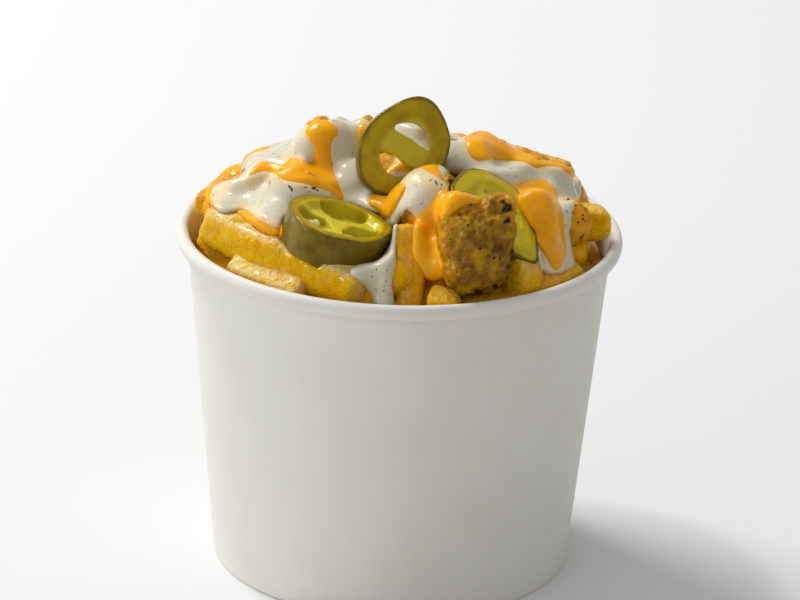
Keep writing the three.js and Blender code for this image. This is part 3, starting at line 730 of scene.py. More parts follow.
def inside_outline(spots):
    """How far inside an outline each place of the view is, in mm; negative outside."""
    x, y = np.meshgrid(VIEW_X, VIEW_Y, indexing="ij")
    line = smooth_outline(spots)
    nearest = np.full(x.shape, 1e9)
    inside = np.zeros(x.shape, bool)
    for (ax, ay), (bx, by) in zip(line, np.roll(line, -1, 0)):
        ex, ey = bx - ax, by - ay
        share = np.clip(((x - ax) * ex + (y - ay) * ey) / max(ex * ex + ey * ey, 1e-9), 0, 1)
        nearest = np.minimum(nearest, (x - ax - share * ex) ** 2 + (y - ay - share * ey) ** 2)
        if ay != by:
            inside ^= ((ay > y) != (by > y)) & (x < ax + (y - ay) * ex / ey)
    distance = np.sqrt(nearest) / PX_PER_MM
    return np.where(inside, distance, -distance)


def widest(grid, steps, pick):
    """The least or greatest value within so many cells of each cell of the view."""
    for _ in range(steps):
        for axis in (0, 1):
            grid = pick(grid, pick(np.roll(grid, 1, axis), np.roll(grid, -1, axis)))
    return grid


def seen_depth(field):
    """How far the food lies from the camera over the view: the near and the far bound."""
    x, y = np.meshgrid(VIEW_X, VIEW_Y, indexing="ij")
    ways = photo_ray(x, y)
    miss = CAMERA["distance"] + 80.0
    reach = np.full(x.shape, CAMERA["distance"] - 100.0)
    for _ in range(110):
        value = sample(field, CAM_PLACE + ways * reach[..., None])
        reach = np.where(value < 0.05, reach, reach + np.clip(value * 0.9, 0.1, 3.0))
    reach = np.minimum(reach, miss)
    for _ in range(6):
        spread = widest(reach, 1, np.minimum)
        reach = np.where(reach >= miss, spread, reach)
    return widest(reach, 2, np.minimum), widest(np.where(reach >= miss, 0, reach), 2, np.maximum)


def hit_from_above(field, x, y):
    heights = np.arange(133.0, 72.0, -0.2)
    points = np.stack([np.full_like(heights, x), np.full_like(heights, y), heights], -1)
    value = sample(field, points)
    return points[np.argmax(value < 0.1)]


def back_runs(field, runs):
    return [np.array([(*hit_from_above(field, x, y), w) for x, y, w in run]) for run in runs]


class Layer:
    """A layer of sauce: how far inside its edge each cell lies, and how thick it is there."""

    def __init__(self, cells, places, bounds, patches, runs, seed, run_thick=1.6):
        px, py, reach = places
        near, far = bounds
        points = LOW + STEP * cells
        window = np.minimum(reach - sample_view(near, px, py) + 4.0,
                            sample_view(far, px, py) + 5.0 - reach)
        wobble = 0.35 * noise(points, 4.5, seed) + 0.2 * noise(points, 2.0, seed + 1)
        self.inside = np.full(len(cells), -8.0)
        self.thick = np.zeros(len(cells))
        for thick, outline in patches:
            depth = np.minimum(sample_view(inside_outline(outline), px, py) + wobble, window)
            self.cover(depth, thick)
        for run in runs:
            depth = np.full(len(cells), -8.0)
            for a, b in zip(run[:-1], run[1:]):
                line = b[:3] - a[:3]
                share = np.clip((points - a[:3]) @ line / max(line @ line, 1e-9), 0, 1)
                off = np.linalg.norm(points - (a[:3] + share[:, None] * line), axis=-1)
                depth = np.maximum(depth, lerp(a[3], b[3], share) - off)
            self.cover(depth + 2.2 * wobble, run_thick)

    def cover(self, depth, thick):
        self.inside = np.maximum(self.inside, depth)
        self.thick = np.maximum(self.thick, layer_height(depth, thick))

    def spread_under(self, upper):
        """Runs a little way under the edge of the layer above."""
        more = 1.8 * smoothstep(-1.8, 0.3, upper.inside)
        thick = layer_height(self.inside + more, 1.5)
        self.thick = np.where(more > 0, np.maximum(self.thick, thick), self.thick)
        self.inside = self.inside + more


def layer_height(depth, thick):
    """Thickness of sauce: full well inside its edge, rounded at the edge."""
    return np.where(depth > 0, thick * (1 - np.exp(-np.maximum(depth, 0) / 1.3)), 0.0)


# Materials.
def new_material(name):
    material = bpy.data.materials.new(name)
    material.use_nodes = True
    return material, material.node_tree.nodes, material.node_tree.links, \
        material.node_tree.nodes["Principled BSDF"]


def node(nodes, kind, **inputs):
    made = nodes.new(kind)
    for key, value in inputs.items():
        made.inputs[key.replace("_", " ")].default_value = value
    return made


def mix_colour(nodes, links, factor, a, b, mode="MIX"):
    made = nodes.new("ShaderNodeMix")
    made.data_type = "RGBA"
    made.blend_type = mode
    for socket, value in ((made.inputs[0], factor), (made.inputs[6], a), (made.inputs[7], b)):
        if hasattr(value, "links"):
            links.new(value, socket)
        elif isinstance(value, (tuple, list)):
            socket.default_value = (*value, 1.0)
        else:
            socket.default_value = value
    return made.outputs[2]


def attribute(nodes, name):
    made = nodes.new("ShaderNodeAttribute")
    made.attribute_name = name
    return made.outputs["Fac"]


def texture_noise(nodes, links, size_mm, detail=3.0, rough=0.55):
    """Noise over the object's own coordinates, with lumps of the given size."""
    coordinates = nodes.new("ShaderNodeTexCoord")
    made = node(nodes, "ShaderNodeTexNoise", Scale=1.0 / (size_mm * MM), Detail=detail,
                Roughness=rough)
    links.new(coordinates.outputs["Object"], made.inputs["Vector"])
    return made.outputs["Fac"]


def ramp(nodes, links, value, lo, hi):
    made = nodes.new("ShaderNodeMapRange")
    made.inputs["From Min"].default_value = lo
    made.inputs["From Max"].default_value = hi
    made.interpolation_type = "SMOOTHSTEP"
    links.new(value, made.inputs["Value"])
    return made.outputs["Result"]


def times(nodes, links, a, b):
    made = nodes.new("ShaderNodeMath")
    made.operation = "MULTIPLY"
    for socket, value in ((made.inputs[0], a), (made.inputs[1], b)):
        if hasattr(value, "links"):
            links.new(value, socket)
        else:
            socket.default_value = value
    return made.outputs[0]


def bump(nodes, links, shader, heights):
    """Chains bumps of (height output, distance in mm, strength) into a shader."""
    last = None
    for height, distance_mm, strength in heights:
        made = nodes.new("ShaderNodeBump")
        made.inputs["Strength"].default_value = strength
        made.inputs["Distance"].default_value = distance_mm * MM
        links.new(height, made.inputs["Height"])
        if last:
            links.new(last, made.inputs["Normal"])
        last = made.outputs["Normal"]
    links.new(last, shader.inputs["Normal"])


def translucent(shader, weight, radius_mm, tint):
    shader.inputs["Subsurface Weight"].default_value = weight
    shader.inputs["Subsurface Radius"].default_value = tint
    shader.inputs["Subsurface Scale"].default_value = radius_mm * MM


def wet(shader, roughness, coat, coat_roughness=0.08):
    shader.inputs["Roughness"].default_value = roughness
    shader.inputs["Specular IOR Level"].default_value = 0.08
    shader.inputs["Coat Weight"].default_value = coat
    shader.inputs["Coat Roughness"].default_value = coat_roughness


def paper_material():
    material, nodes, links, shader = new_material("tub_paper")
    cloud = ramp(nodes, links, texture_noise(nodes, links, 22.0), 0.3, 0.7)
    colour = mix_colour(nodes, links, cloud, (0.685, 0.664, 0.608), (0.71, 0.69, 0.635))
    stain = ramp(nodes, links, texture_noise(nodes, links, 9.0, 2.0), 0.77, 0.80)
    colour = mix_colour(nodes, links, times(nodes, links, stain, 0.35), colour, (0.75, 0.52, 0.25))
    links.new(colour, shader.inputs["Base Color"])
    wet(shader, 0.48, 0.12, 0.35)
    fine = texture_noise(nodes, links, 0.5)
    broad = texture_noise(nodes, links, 14.0, 1.0)
    bump(nodes, links, shader, [(broad, 0.5, 0.25), (fine, 0.03, 0.4)])
    return material


def fry_material():
    material, nodes, links, shader = new_material("fry_crust")
    patch = ramp(nodes, links, texture_noise(nodes, links, 5.0), 0.35, 0.65)
    colour = mix_colour(nodes, links, patch, (0.92, 0.40, 0.0), (1.0, 0.62, 0.001))
    shade = times(nodes, links, attribute(nodes, "shade"), 0.7)
    colour = mix_colour(nodes, links, shade, colour, (0.94, 0.47, 0.0))
    yellow = ramp(nodes, links, texture_noise(nodes, links, 8.0, 1.0), 0.48, 0.68)
    colour = mix_colour(nodes, links, yellow, colour, (1.0, 0.57, 0.003))
    # The glaze tint is the cheese stain, and painted shade on the fries low in the tub.
    glaze = times(nodes, links, attribute(nodes, "glaze"), 0.65)
    colour = mix_colour(nodes, links, glaze, colour, (0.95, 0.36, 0.0))
    grain = ramp(nodes, links, texture_noise(nodes, links, 1.8, 4.0), 0.30, 0.56)
    cream = times(nodes, links, attribute(nodes, "cream"), grain)
    colour = mix_colour(nodes, links, cream, colour, (0.97, 0.74, 0.30))
    # Darker at the corners and ends from browning; over the core the same tint is painted shade.
    spots = ramp(nodes, links, texture_noise(nodes, links, 2.4, 4.0), 0.46, 0.66)
    brown = times(nodes, links, attribute(nodes, "brown"), spots)
    brown = times(nodes, links, brown, 0.85)
    colour = mix_colour(nodes, links, brown, colour, (0.78, 0.25, 0.001))
    mottle = ramp(nodes, links, texture_noise(nodes, links, 1.5, 5.0, 0.7), 0.50, 0.70)
    mottle = times(nodes, links, mottle, 0.35)
    colour = mix_colour(nodes, links, mottle, colour, (0.86, 0.34, 0.0))
    links.new(colour, shader.inputs["Base Color"])
    wet(shader, 0.45, 0.0, 0.12)
    oily = ramp(nodes, links, texture_noise(nodes, links, 3.5, 2.0), 0.5, 0.62)
    links.new(times(nodes, links, oily, 0.5), shader.inputs["Coat Weight"])
    translucent(shader, 0.12, 1.2, (1.0, 0.35, 0.01))
    coarse = texture_noise(nodes, links, 2.6, 5.0, 0.68)
    fine = texture_noise(nodes, links, 0.7, 4.0, 0.6)
    bump(nodes, links, shader, [(coarse, 3.2, 0.8), (fine, 0.9, 0.7)])
    return material


def chicken_material():
    material, nodes, links, shader = new_material("grilled_chicken")
    patch = ramp(nodes, links, texture_noise(nodes, links, 5.0), 0.35, 0.68)
    colour = mix_colour(nodes, links, patch, (0.23, 0.095, 0.0), (0.44, 0.24, 0.002))
    seared = ramp(nodes, links, texture_noise(nodes, links, 2.2, 4.0), 0.48, 0.66)
    seared = times(nodes, links, seared, 0.75)
    colour = mix_colour(nodes, links, seared, colour, (0.16, 0.05, 0.002))
    colour = mix_colour(nodes, links, attribute(nodes, "glaze"), colour, (0.84, 0.35, 0.001))
    # pepper: small dark spots of uneven size
    cells = nodes.new("ShaderNodeTexVoronoi")
    coordinates = nodes.new("ShaderNodeTexCoord")
    links.new(coordinates.outputs["Object"], cells.inputs["Vector"])
    cells.inputs["Scale"].default_value = 1 / (1.9 * MM)
    size = nodes.new("ShaderNodeSeparateColor")
    links.new(cells.outputs["Color"], size.inputs["Color"])
    spot_size = ramp(nodes, links, size.outputs[0], 0.6, 1.0)
    compare = nodes.new("ShaderNodeMath")
    compare.operation = "LESS_THAN"
    links.new(cells.outputs["Distance"], compare.inputs[0])
    links.new(times(nodes, links, spot_size, 0.26), compare.inputs[1])
    pepper = times(nodes, links, compare.outputs[0], 0.9)
    colour = mix_colour(nodes, links, pepper, colour, (0.03, 0.015, 0.004))
    # Near-black spots: char, and painted shade in hollows and on shaded edges.
    colour = mix_colour(nodes, links, attribute(nodes, "char"), colour, (0.02, 0.008, 0.003))
    links.new(colour, shader.inputs["Base Color"])
    wet(shader, 0.42, 0.16, 0.16)
    translucent(shader, 0.10, 1.5, (1.0, 0.4, 0.02))
    coarse = texture_noise(nodes, links, 2.0, 5.0, 0.65)
    fine = texture_noise(nodes, links, 0.6, 3.0)
    bump(nodes, links, shader, [(coarse, 1.2, 0.7), (fine, 0.4, 0.5)])
    return material


def jalapeno_material():
    material, nodes, links, shader = new_material("pickled_jalapeno")
    patch = ramp(nodes, links, texture_noise(nodes, links, 5.0), 0.3, 0.7)
    flesh = mix_colour(nodes, links, patch, (0.29, 0.185, 0.0), (0.43, 0.28, 0.0))
    flesh = mix_colour(nodes, links, attribute(nodes, "lime"), flesh, (0.62, 0.50, 0.0))
    skin = mix_colour(nodes, links, patch, (0.11, 0.07, 0.0), (0.20, 0.13, 0.0))
    colour = mix_colour(nodes, links, attribute(nodes, "skin"), flesh, skin)
    colour = mix_colour(nodes, links, attribute(nodes, "pith"), colour, (0.58, 0.49, 0.03))
    links.new(colour, shader.inputs["Base Color"])
    wet(shader, 0.25, 0.22, 0.05)
    translucent(shader, 0.15, 1.5, (0.8, 0.6, 0.01))
    streaks = texture_noise(nodes, links, 1.3, 3.0)
    bump(nodes, links, shader, [(texture_noise(nodes, links, 4.5, 2.0), 0.9, 0.4),
                                (streaks, 0.5, 0.4)])
    return material


def sauce_material(name, light, dark, roughness, radius, tint):
    material, nodes, links, shader = new_material(name)
    cloud = ramp(nodes, links, texture_noise(nodes, links, 7.0, 2.0), 0.3, 0.7)
    colour = mix_colour(nodes, links, cloud, light, dark)
    colour = mix_colour(nodes, links, attribute(nodes, "blend"), colour, (0.90, 0.58, 0.20))
    links.new(colour, shader.inputs["Base Color"])
    wet(shader, roughness, 0.3, 0.05)
    translucent(shader, 0.2, radius, tint)
    bump(nodes, links, shader, [(texture_noise(nodes, links, 4.0, 2.0), 0.6, 0.3),
                                (texture_noise(nodes, links, 1.1, 2.0), 0.16, 0.4)])
    return material


def plain_material(name, colour, roughness):
    material, nodes, links, shader = new_material(name)
    patch = ramp(nodes, links, texture_noise(nodes, links, 0.8), 0.3, 0.7)
    darker = tuple(0.7 * c for c in colour)
    links.new(mix_colour(nodes, links, patch, colour, darker), shader.inputs["Base Color"])
    wet(shader, roughness, 0.4)
    return material


PAPER = paper_material()
FRIES = fry_material()
MEAT = chicken_material()
PEPPER = jalapeno_material()
WHITE = sauce_material("garlic_sauce", (0.615, 0.58, 0.46), (0.58, 0.525, 0.37), 0.3,
                       1.6, (1.0, 0.85, 0.6))
CHEESE = sauce_material("cheese_sauce", (0.88, 0.41, 0.0), (0.82, 0.33, 0.0), 0.3,
                        1.2, (1.0, 0.4, 0.0))
HERB = plain_material("herb_flakes", (0.045, 0.06, 0.02), 0.5)
SEEDS = plain_material("pepper_seeds", (0.75, 0.66, 0.24), 0.35)


# Tub.
def lathe(profile, sides):
    radii = np.array([p[0] for p in profile])
    heights = np.array([p[1] for p in profile])
    angle = np.arange(sides) / sides * 2 * math.pi
    x = radii[:, None] * np.cos(angle)
    y = radii[:, None] * np.sin(angle)
    z = np.broadcast_to(heights[:, None], x.shape)
    verts = np.stack([x, y, z], -1).reshape(-1, 3)
    faces = []
    rows = len(profile)
    for r in range(rows):
        a = r * sides + np.arange(sides)
        b = r * sides + (np.arange(sides) + 1) % sides
        c = ((r + 1) % rows) * sides + (np.arange(sides) + 1) % sides
        d = ((r + 1) % rows) * sides + np.arange(sides)
        faces.append(np.stack([a, b, c, d], 1))
    return verts, np.concatenate(faces)


def build_tub():
    wall_top = TUB["height"] - TUB["roll_h"]
    inside = lambda z: wall_radius(z) - TUB["paper"]
    centre = (TUB["rim"] - TUB["roll_w"] / 2, TUB["height"] - TUB["roll_h"] / 2)
    hem_in = TUB["foot"] - TUB["hem_w"]
    profile = [(hem_in, 0), (TUB["foot"] - 0.45, 0), (TUB["foot"] - 0.1, 0.12), (TUB["foot"], 0.45)]
    profile += [(wall_radius(z), z) for z in np.linspace(1.2, wall_top - 0.3, 26)]
    for a in np.linspace(-0.60 * math.pi, 1.0 * math.pi, 30):
        profile.append((centre[0] + TUB["roll_w"] / 2 * math.cos(a),
                        centre[1] + TUB["roll_h"] / 2 * math.sin(a)))
    profile += [(inside(z), z) for z in np.linspace(wall_top - 0.8, TUB["hem_h"] + 0.4, 8)]
    profile += [(inside(TUB["hem_h"]) - 0.2, TUB["hem_h"]), (hem_in + 0.1, TUB["hem_h"]),
                (hem_in, TUB["hem_h"] - 0.2)]
    sides = 192
    verts, faces = lathe(profile, sides)
    # the overlap of the blank, a step of half a millimetre up the back
    angle = np.arctan2(verts[:, 1], verts[:, 0])
    radius = np.hypot(verts[:, 0], verts[:, 1])
    seam_angle, seam_width = 2.05, 0.16
    step = smoothstep(0.0, 0.02, angle - seam_angle) * (1 - smoothstep(seam_width, seam_width + 0.02, angle - seam_angle))
    on_wall = smoothstep(1.0, 3.0, verts[:, 2]) * (1 - smoothstep(wall_top - 4, wall_top - 1, verts[:, 2]))
    outer = radius > inside(np.clip(verts[:, 2], 0, wall_top)) + 0.3
    radius_new = radius - 0.28 * step * on_wall * outer
    verts[:, 0] *= radius_new / radius
    verts[:, 1] *= radius_new / radius
    piece = make_piece("tub", verts, faces, PAPER)
    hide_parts("tub_wall")
    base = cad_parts["tub_base"]
    base.data.materials.clear()
    base.data.materials.append(PAPER)


# Chicken.
def ball(level):
    mesh = bpy.data.meshes.new("ball")
    import bmesh
    work = bmesh.new()
    bmesh.ops.create_icosphere(work, subdivisions=level, radius=1.0)
    work.to_mesh(mesh)
    work.free()
    verts = np.array([v.co for v in mesh.vertices], float)
    tris = np.array([p.vertices for p in mesh.polygons], int)
    bpy.data.meshes.remove(mesh)
    return verts, tris


# Charred spots of the chicken, and painted shade in its dark hollows and along its shaded edges, as (x, y,
# radius) in pixels of the photo.
CHAR_SPOTS = [(507, 208, 6), (508, 220, 4.5), (503, 202, 3), (510, 267, 4), (509, 280, 4.5),
              (513, 258, 2.5), (496, 287, 3.5), (478, 292, 4), (470, 203, 2.6), (456, 208, 3),
              (460, 215, 2.4), (310, 159, 5), (316, 158, 3), (334, 150, 4), (437, 168, 2.6),
              (444, 175, 2.6), (450, 181, 2.2), (578, 222, 1.8), (584, 221, 1.4), (500, 258, 1.6),
              (468, 225, 1.8), (480, 249, 1.8), (494, 258, 1.6)]


def near_spots(verts, normals, spots, rough):
    """How deep inside a spot of the photo each vertex that faces the camera lies."""
    px, py, _ = photo_spots(verts)
    mask = np.zeros(len(verts))
    for x, y, radius in spots:
        depth = 1 - np.hypot(px - x, py - y) / radius + 0.7 * rough
        mask = np.maximum(mask, smoothstep(0.0, 0.35, depth))
    return mask * smoothstep(0.1, -0.2, normals @ CAM_FORWARD)


def build_chicken(cheese_depth):
    fine, fine_tris = ball(6)
    plain, plain_tris = ball(5)
    for i, piece in enumerate(CHICKEN):
        at, size, turn, seed = piece
        ways, tris = (fine, fine_tris) if i in (0, 2) else (plain, plain_tris)
        reach = lump_reach(ways, lobes_of(piece))[:, None]
        local = ways * np.array(size) * reach
        normals = vertex_normals(local, tris)
        fibre = local * np.array([1.0, 1.0, 0.45])
        ridge = 1 - 2 * np.abs(fractal(fibre, 5.0, 60 + i, 4))
        relief = 0.95 * (ridge - 0.6) + 0.8 * fractal(local, 2.2, 80 + i, 3)
        local = local + normals * relief[:, None] * 1.15
        verts = clear_of_slices(np.array(at) + local @ euler_matrix(turn).T)
        normals = vertex_normals(verts, tris)
        patch = fractal(verts, 4.0, 90 + i, 3)
        char = 0.6 * smoothstep(0.5, 0.75, patch + 0.15 * normals[:, 2])
        rough = fractal(verts, 1.2, 30 + i, 3)
        # Painted shade: the near-black spots are partly char and partly shade painted into hollows and shaded
        # edges.
        char = np.maximum(char, near_spots(verts, normals, CHAR_SPOTS, rough))
        near_cheese = sample(cheese_depth, verts) + 0.8 * patch
        glaze = smoothstep(-3.5, -0.2, near_cheese) * (0.4 if i == 0 else 0.85)
        glaze = np.maximum(glaze, 0.85 * smoothstep(-0.6, 0.1, patch)) if i == 4 else glaze
        made = make_piece(f"chicken_{i + 1}_grilled", verts, tris, MEAT,
                          dict(glaze=glaze, char=char))
        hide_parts(f"chicken_{i + 1}")


# Jalapeno slices.
def slice_axes(item):
    z = unit(item["facing"])
    x = np.array(item["up"], float)
    x = unit(x - z * (x @ z))
    return np.stack([x, np.cross(z, x), z], 1)


def slice_wobble(angle):
    return 1 + 0.03 * np.sin(3 * angle + 0.7) + 0.02 * np.sin(5 * angle)


def slice_squash(along, item):
    """How narrow a slice is across, which may lessen towards its lower end."""
    narrow = item.get("narrow", 0.0) * smoothstep(0.1, 0.95, along / item["radius"])
    return item["squash"] * (1 - narrow)


def slice_field(points, item):
    """Distance to a slice in its own frame, and how far in from the skin each point lies."""
    x, z = points[..., 0], points[..., 2]
    y = points[..., 1] / slice_squash(x, item)
    angle = np.arctan2(y, x)
    ring = np.hypot(x, y)
    from_skin = item["radius"] - ring / slice_wobble(angle)
    edge = -from_skin * 0.94
    inner = item["radius"] - item["flesh"]
    # the flesh swells a little between the skin and the seeds
    swell = 0.35 * np.exp(-((from_skin - 0.55 * item["flesh"]) / 1.8) ** 2)
    faces = np.abs(z + 0.25 * noise(points, 6.0, 5)) - item["thick"] / 2 + 0.3 - swell
    holes = np.full(x.shape, 9.0)
    for h in range(item["holes"]):
        middle = (h + 0.5) / item["holes"] * 2 * math.pi + item.get("phase", 0.4)
        gap = math.pi / item["holes"] - 0.34
        off = np.angle(np.exp(1j * (angle - middle)))
        along, across = ring * np.cos(off), np.abs(ring * np.sin(off))
        side = np.maximum((np.abs(off) - gap) * np.maximum(ring, 1.0) * 0.9, 2.9 - along)
        hole = round_max(side, ring - inner, 1.2) + 0.4 * noise(points, 3.0, 9)
        holes = np.minimum(holes, hole)
    if "floor" in item:
        holes = np.maximum(holes, item["floor"] + 0.5 * noise(points, 2.4, 12) - z)
    if "sunk" in item:
        lower = item["sunk"] * smoothstep(-0.4, 2.2, inner - ring + 0.8 * noise(points, 3.0, 14))
        faces = np.maximum(faces, z - item["thick"] / 2 + lower - 0.4 * noise(points, 2.0, 15))
    rounding = 0.7
    a, b = np.maximum(edge + rounding, 0), np.maximum(faces + rounding, 0)
    body = np.hypot(a, b) + np.minimum(np.maximum(edge, faces) + rounding, 0) - rounding
    return round_max(body, -holes, 0.5), from_skin


def slice_hull(points, item):
    """Distance to a slice without its holes."""
    local = (points - np.array(item["at"])) @ slice_axes(item)
    x = local[..., 0]
    y = local[..., 1] / slice_squash(x, item)
    radial = (np.hypot(x, y) / slice_wobble(np.arctan2(y, x)) - item["radius"]) * 0.94
    return np.maximum(radial, np.abs(local[..., 2]) - item["thick"] / 2)


def clear_of_slices(verts):
    """Moves vertices that lie inside a slice out of it by the nearest way down or sideways."""
    verts = verts.copy()
    for item in JALAPENO:
        axes = slice_axes(item)
        local = (verts - np.array(item["at"])) @ axes
        flat = local.copy()
        flat[:, 1] /= slice_squash(local[:, 0], item)
        ring = np.hypot(flat[:, 0], flat[:, 1])
        room = item["radius"] * slice_wobble(np.arctan2(flat[:, 1], flat[:, 0])) + 0.25
        half = item["thick"] / 2 + 0.25
        out, down, up = room - ring, local[:, 2] + half, half - local[:, 2]
        if item is not JALAPENO[0]:
            up = up + 99.0
        inside = (out > 0) & (down > 0) & (np.abs(local[:, 2]) < half)
        sideways = inside & (out <= down) & (out <= up)
        drop = inside & ~sideways & (down <= up)
        rise = inside & ~sideways & ~drop
        local[sideways, :2] *= (room / np.maximum(ring, 1e-6))[sideways, None]
        local[drop, 2] = -half
        local[rise, 2] = half
        verts = np.array(item["at"]) + local @ axes.T
    return verts


def build_jalapenos():
    seeds = Pile()
    seed_ball, seed_tris = ball(2)
    draw = np.random.default_rng(7)
    for i, item in enumerate(JALAPENO):
        step = 0.34
        reach = item["radius"] * 1.12
        deep = item["thick"] / 2 + 1.2
        lo = np.array([-reach, -reach * item["squash"] - 1, -deep])
        counts = np.ceil(-2 * lo / step).astype(int) + 1
        grids = np.meshgrid(*(lo[k] + step * np.arange(counts[k]) for k in range(3)),
                            indexing="ij")
        field, _ = slice_field(np.stack(grids, -1), item)
        local, quads = surface_mesh(field, lo, step)
        _, from_skin = slice_field(local, item)
        inner = item["flesh"]
        on_face = smoothstep(0.35, 0.95, local[:, 2] / (item["thick"] / 2))
        skin = 1 - smoothstep(0.45, 1.3, from_skin + 0.25 * noise(local, 2.0, 3))
        pith = smoothstep(inner - 1.2, inner + 1.0, from_skin) * (1 - 0.3 * on_face)
        axes = slice_axes(item)
        if i != 1:  # thin slices are slightly warped
            local[:, 2] += 0.5 * np.sin(local[:, 0] / item["radius"] * 2.2 + i)
        verts = np.array(item["at"]) + local @ axes.T
        piece = make_piece(f"jalapeno_{i + 1}_slice", verts, quads, PEPPER,
                           dict(skin=skin, pith=pith, lime=(0.1, smoothstep(inner - 1.0, inner + 0.6, from_skin), 0.5, 0.0, 0.0)[i]))
        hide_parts(f"jalapeno_{i + 1}")
        if i in (0, 2):
            continue
        for _ in range(11 if i == 1 else 4):
            angle = draw.uniform(0, 2 * math.pi)
            ring = draw.uniform(0.25, 0.9) * (item["radius"] - item["flesh"] - 1.4)
            level = draw.uniform(1.3, 1.9) if i == 1 else item["thick"] * draw.uniform(0.1, 0.3)
            spot = np.array([ring * math.cos(angle), ring * math.sin(angle) * item["squash"],
                             level])
            lean = draw.uniform(-0.5, 0.5, 3) + np.array([0, 0, draw.uniform(0, 6)])
            shape = seed_ball * np.array([1.5, 1.15, 0.42]) @ euler_matrix(lean).T + spot
            seeds.add(np.array(item["at"]) + shape @ axes.T, tris=seed_tris)
    seeds.piece("jalapeno_seeds", SEEDS, "jalapeno")


# Sauces.
def sauce_layers(food, smooth_food):
    """The four layers, from the lowest up, with the cells of the grid that they share."""
    cells = np.argwhere(np.abs(smooth_food) < 4.6)
    places = photo_spots(LOW + STEP * cells)
    bounds = seen_depth(food)
    white_low = Layer(cells, places, bounds, WHITE_LOW, back_runs(food, BACK_WHITE), 51)
    cheese_low = Layer(cells, places, bounds, CHEESE_LOW, back_runs(food, BACK_CHEESE), 61)
    white_high = Layer(cells, places, bounds, WHITE_HIGH, [], 71)
    cheese_high = Layer(cells, places, bounds, CHEESE_HIGH, [], 81)
    layers = [white_low, cheese_low, white_high, cheese_high]
    for k, lower in enumerate(layers[:-1]):
        for upper in layers[k + 1:]:
            lower.spread_under(upper)
    return cells, layers


def grid_of(cells, values, empty):
    grid = np.full(SHAPE, empty, np.float32)
    grid[tuple(cells.T)] = values
    return grid


def build_sauces(food, smooth_food, cells, layers):
    at = tuple(cells.T)
    near_food, near_smooth = food[at], smooth_food[at]
    below = np.zeros(len(cells))
    bodies = []
    for layer in layers:
        top = below + layer.thick * (1 - 0.5 * smoothstep(0.0, 1.2, below))
        body = round_min(near_smooth - top, near_food - 0.5 * top, 0.9)
        body = np.maximum(body, -(near_smooth + 2.4))
        bodies.append(np.maximum(body, -(layer.inside + 0.1)))
        below = np.maximum(below, top)
    hulls = np.full(len(cells), 9.0)
    points = LOW + STEP * cells
    for item in JALAPENO:
        hulls = np.minimum(hulls, slice_hull(points, item))
    depth_of_cheese = grid_of(cells, np.maximum(layers[1].inside, layers[3].inside), -8.0)
    depth_of_white = grid_of(cells, np.maximum(layers[0].inside, layers[2].inside), -8.0)
    made = {}
    for name, pair, material, other in (("white", (0, 2), WHITE, depth_of_cheese),
                                        ("cheese", (1, 3), CHEESE, depth_of_white)):
        body = np.minimum(bodies[pair[0]], bodies[pair[1]])
        body = np.maximum(body, 0.1 - hulls)
        verts, quads = surface_mesh(box_blur(grid_of(cells, body, 3.0), 3), LOW, STEP)
        touch = sample(other, verts) + 0.6 * fractal(verts, 3.0, 31)
        blend = 0.35 * smoothstep(-1.2, 0.4, touch) if name == "white" else 0.0
        made[name] = (verts, quads)
        piece = make_piece(name + "_sauce", verts, quads, material,
                           dict(blend=blend))
        nodes = [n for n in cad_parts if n.startswith(name + "_sauce")]
        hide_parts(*nodes)
    return made, depth_of_cheese


# Flakes of herb: bigger ones at (x, y, length in mm) of the photo, and fine ones all over.
HERB_SPOTS = [(289, 187, 1.5), (292, 189, 1.2), (306, 187, 1.3), (313, 188, 1.5), (318, 190, 1.0),
              (436, 182, 1.6), (430, 180, 1.0), (442, 185, 1.1), (401, 178, 0.9), (386, 281, 0.7),
              (407, 208, 0.5), (567, 212, 0.8), (564, 249, 0.9), (250, 190, 0.6), (238, 203, 0.5),
              (377, 270, 0.7), (384, 291, 0.6), (344, 124, 0.6), (511, 168, 0.5), (521, 172, 0.5)]


def build_herbs(verts, quads, food):
    """Flakes of herb that lie on the white sauce where it shows."""
    draw = np.random.default_rng(12)
    normals = vertex_normals(verts, quads)
    centres = verts[quads].mean(1)
    ways = normals[quads[:, 0]]
    shows = (sample(food, centres) > 0.5) & (ways[:, 2] > -0.2)
    px, py, reach = photo_spots(centres)
    fine = [(k, draw.choice([0.16, 0.24, 0.36], p=[0.5, 0.35, 0.15]))
            for k in draw.choice(np.flatnonzero(shows), 230, replace=False)]
    faces_photo = shows & (ways @ CAM_FORWARD < 0)
    large = []
    for x, y, long in HERB_SPOTS:
        off = np.where(faces_photo, np.hypot(px - x, py - y) + 0.02 * (reach - 1500), 1e9)
        large.append((np.argmin(off), long / 2))
    flakes = Pile()
    shape, tris = ball(1)
    for k, long in fine + large:
        n = unit(ways[k])
        side = unit(np.cross(n, draw.normal(size=3)))
        basis = np.stack([side, np.cross(n, side), n], 1)
        size = np.array([long, long * draw.uniform(0.3, 0.6), 0.06])
        bent = shape * size * (1 + 0.25 * draw.normal(size=shape.shape))
        flakes.add(centres[k] + 0.02 * n + bent @ basis.T, tris=tris)
    flakes.piece("herb_flakes", HERB, "white_sauce")


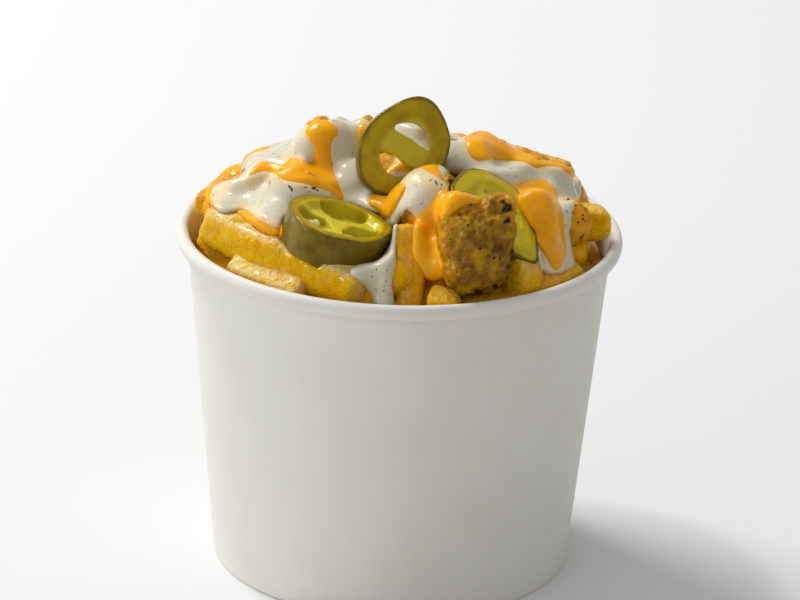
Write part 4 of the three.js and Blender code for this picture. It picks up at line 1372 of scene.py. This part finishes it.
def build_food():
    laid = SHOWN_FRIES + rim_fries()
    stops = [(np.array(c[0]), 0.6 * min(c[1])) for c in CHICKEN]
    loose = settle_fries(laid, loose_fries(), stops)
    below = under_fries(70, 8.5)
    fries = laid + loose
    food = food_distance(fries + below)
    smooth_food = box_blur(np.clip(food, -5.0, 5.0), 7)
    cells, layers = sauce_layers(food, smooth_food)

    pile = Pile()
    for i, fry in enumerate(laid):
        add_fry(pile, fry, i, 0.9, 36)
    for i, fry in enumerate(loose):
        add_fry(pile, fry, 40 + i, 1.5, 24)
    for i, fry in enumerate(below):
        add_fry(pile, fry, 100 + i, 2.4, 16)
    core = [(0.0, 30.0), (wall_radius(30) - 1.5, 30.0), (wall_radius(82) - 1.5, 82.0)]
    core += [(r, float(dome_height(r, 0)) - 13.0) for r in np.linspace(50, 0.5, 12)]
    core_verts, core_faces = lathe(core, 64)
    # Painted shade: the core gets a dark browning tint that stands in for the shaded fries deep in the heap.
    pile.add(core_verts, core_faces[:-64], cream=0.0, brown=0.6, shade=0.0)
    sauces, cheese = build_sauces(food, smooth_food, cells, layers)
    build_herbs(*sauces["white"], food)
    pile.verts = [clear_of_slices(verts) for verts in pile.verts]
    everywhere = np.concatenate(pile.verts)
    stain = sample(cheese, everywhere) + 1.5 * fractal(everywhere, 6.0, 23)
    # Painted shade: fries low in the tub, deep among the others, are tinted deeper orange.
    soaked = 0.8 * smoothstep(91.0, 80.0, everywhere[:, 2])
    pile.values["glaze"] = [np.maximum(smoothstep(-5.0, -0.5, stain), soaked)]
    piece = pile.piece("fries_heap", FRIES, "fries")
    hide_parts("fries")
    build_chicken(cheese)
    build_jalapenos()


def build_stage():
    floor_mesh = bpy.data.meshes.new("floor")
    far = 4.0
    floor_mesh.from_pydata([(-far, -far, 0), (far, -far, 0), (far, far, 0), (-far, far, 0)], [], [(0, 1, 2, 3)])
    floor = bpy.data.objects.new("floor", floor_mesh)
    material, _, _, shader = new_material("pale_floor")
    shader.inputs["Base Color"].default_value = (0.71, 0.71, 0.717, 1)
    shader.inputs["Roughness"].default_value = 0.7
    floor_mesh.materials.append(material)
    bpy.context.scene.collection.objects.link(floor)

    world = bpy.data.worlds.new("studio")
    world.use_nodes = True
    world.node_tree.nodes["Background"].inputs["Color"].default_value = (1, 1, 1, 1)
    world.node_tree.nodes["Background"].inputs["Strength"].default_value = 0.51
    bpy.context.scene.world = world

    def area_light(name, place, target, size, power, colour=(1, 1, 1)):
        data = bpy.data.lights.new(name, "AREA")
        data.shape = "DISK"
        data.size = size
        data.energy = power
        data.color = colour
        light = bpy.data.objects.new(name, data)
        light.location = place
        way = Vector(target) - Vector(place)
        light.rotation_euler = way.to_track_quat("-Z", "Y").to_euler()
        bpy.context.scene.collection.objects.link(light)

    middle = (0, 0, 0.08)
    area_light("key", (-0.75, 0.72, 1.25), middle, 0.65, 18.4, (1.0, 0.99, 0.97))
    area_light("spark", (-0.62, 0.40, 1.45), middle, 0.12, 3.5)
    area_light("left_fill", (-2.3, -0.5, 0.28), middle, 0.6, 13.5, (0.89, 0.95, 1.0))
    area_light("front_fill", (-0.9, -1.1, 0.7), middle, 0.9, 1.5)


def build_camera():
    data = bpy.data.cameras.new("photo_camera")
    data.sensor_width = 36.0
    data.lens = CAMERA["focal_px"] / CAMERA["width_px"] * 36.0
    data.clip_start, data.clip_end = 0.1, 20.0
    camera = bpy.data.objects.new("photo_camera", data)
    place = Matrix.Identity(4)
    for row in range(3):
        place[row][0], place[row][1] = CAM_RIGHT[row], CAM_UP[row]
        place[row][2], place[row][3] = -CAM_FORWARD[row], CAM_PLACE[row] * MM
    camera.matrix_world = place
    bpy.context.scene.collection.objects.link(camera)
    bpy.context.scene.camera = camera


build_camera()
build_stage()
build_tub()
build_food()
bpy.context.scene.view_settings.view_transform = "Standard"
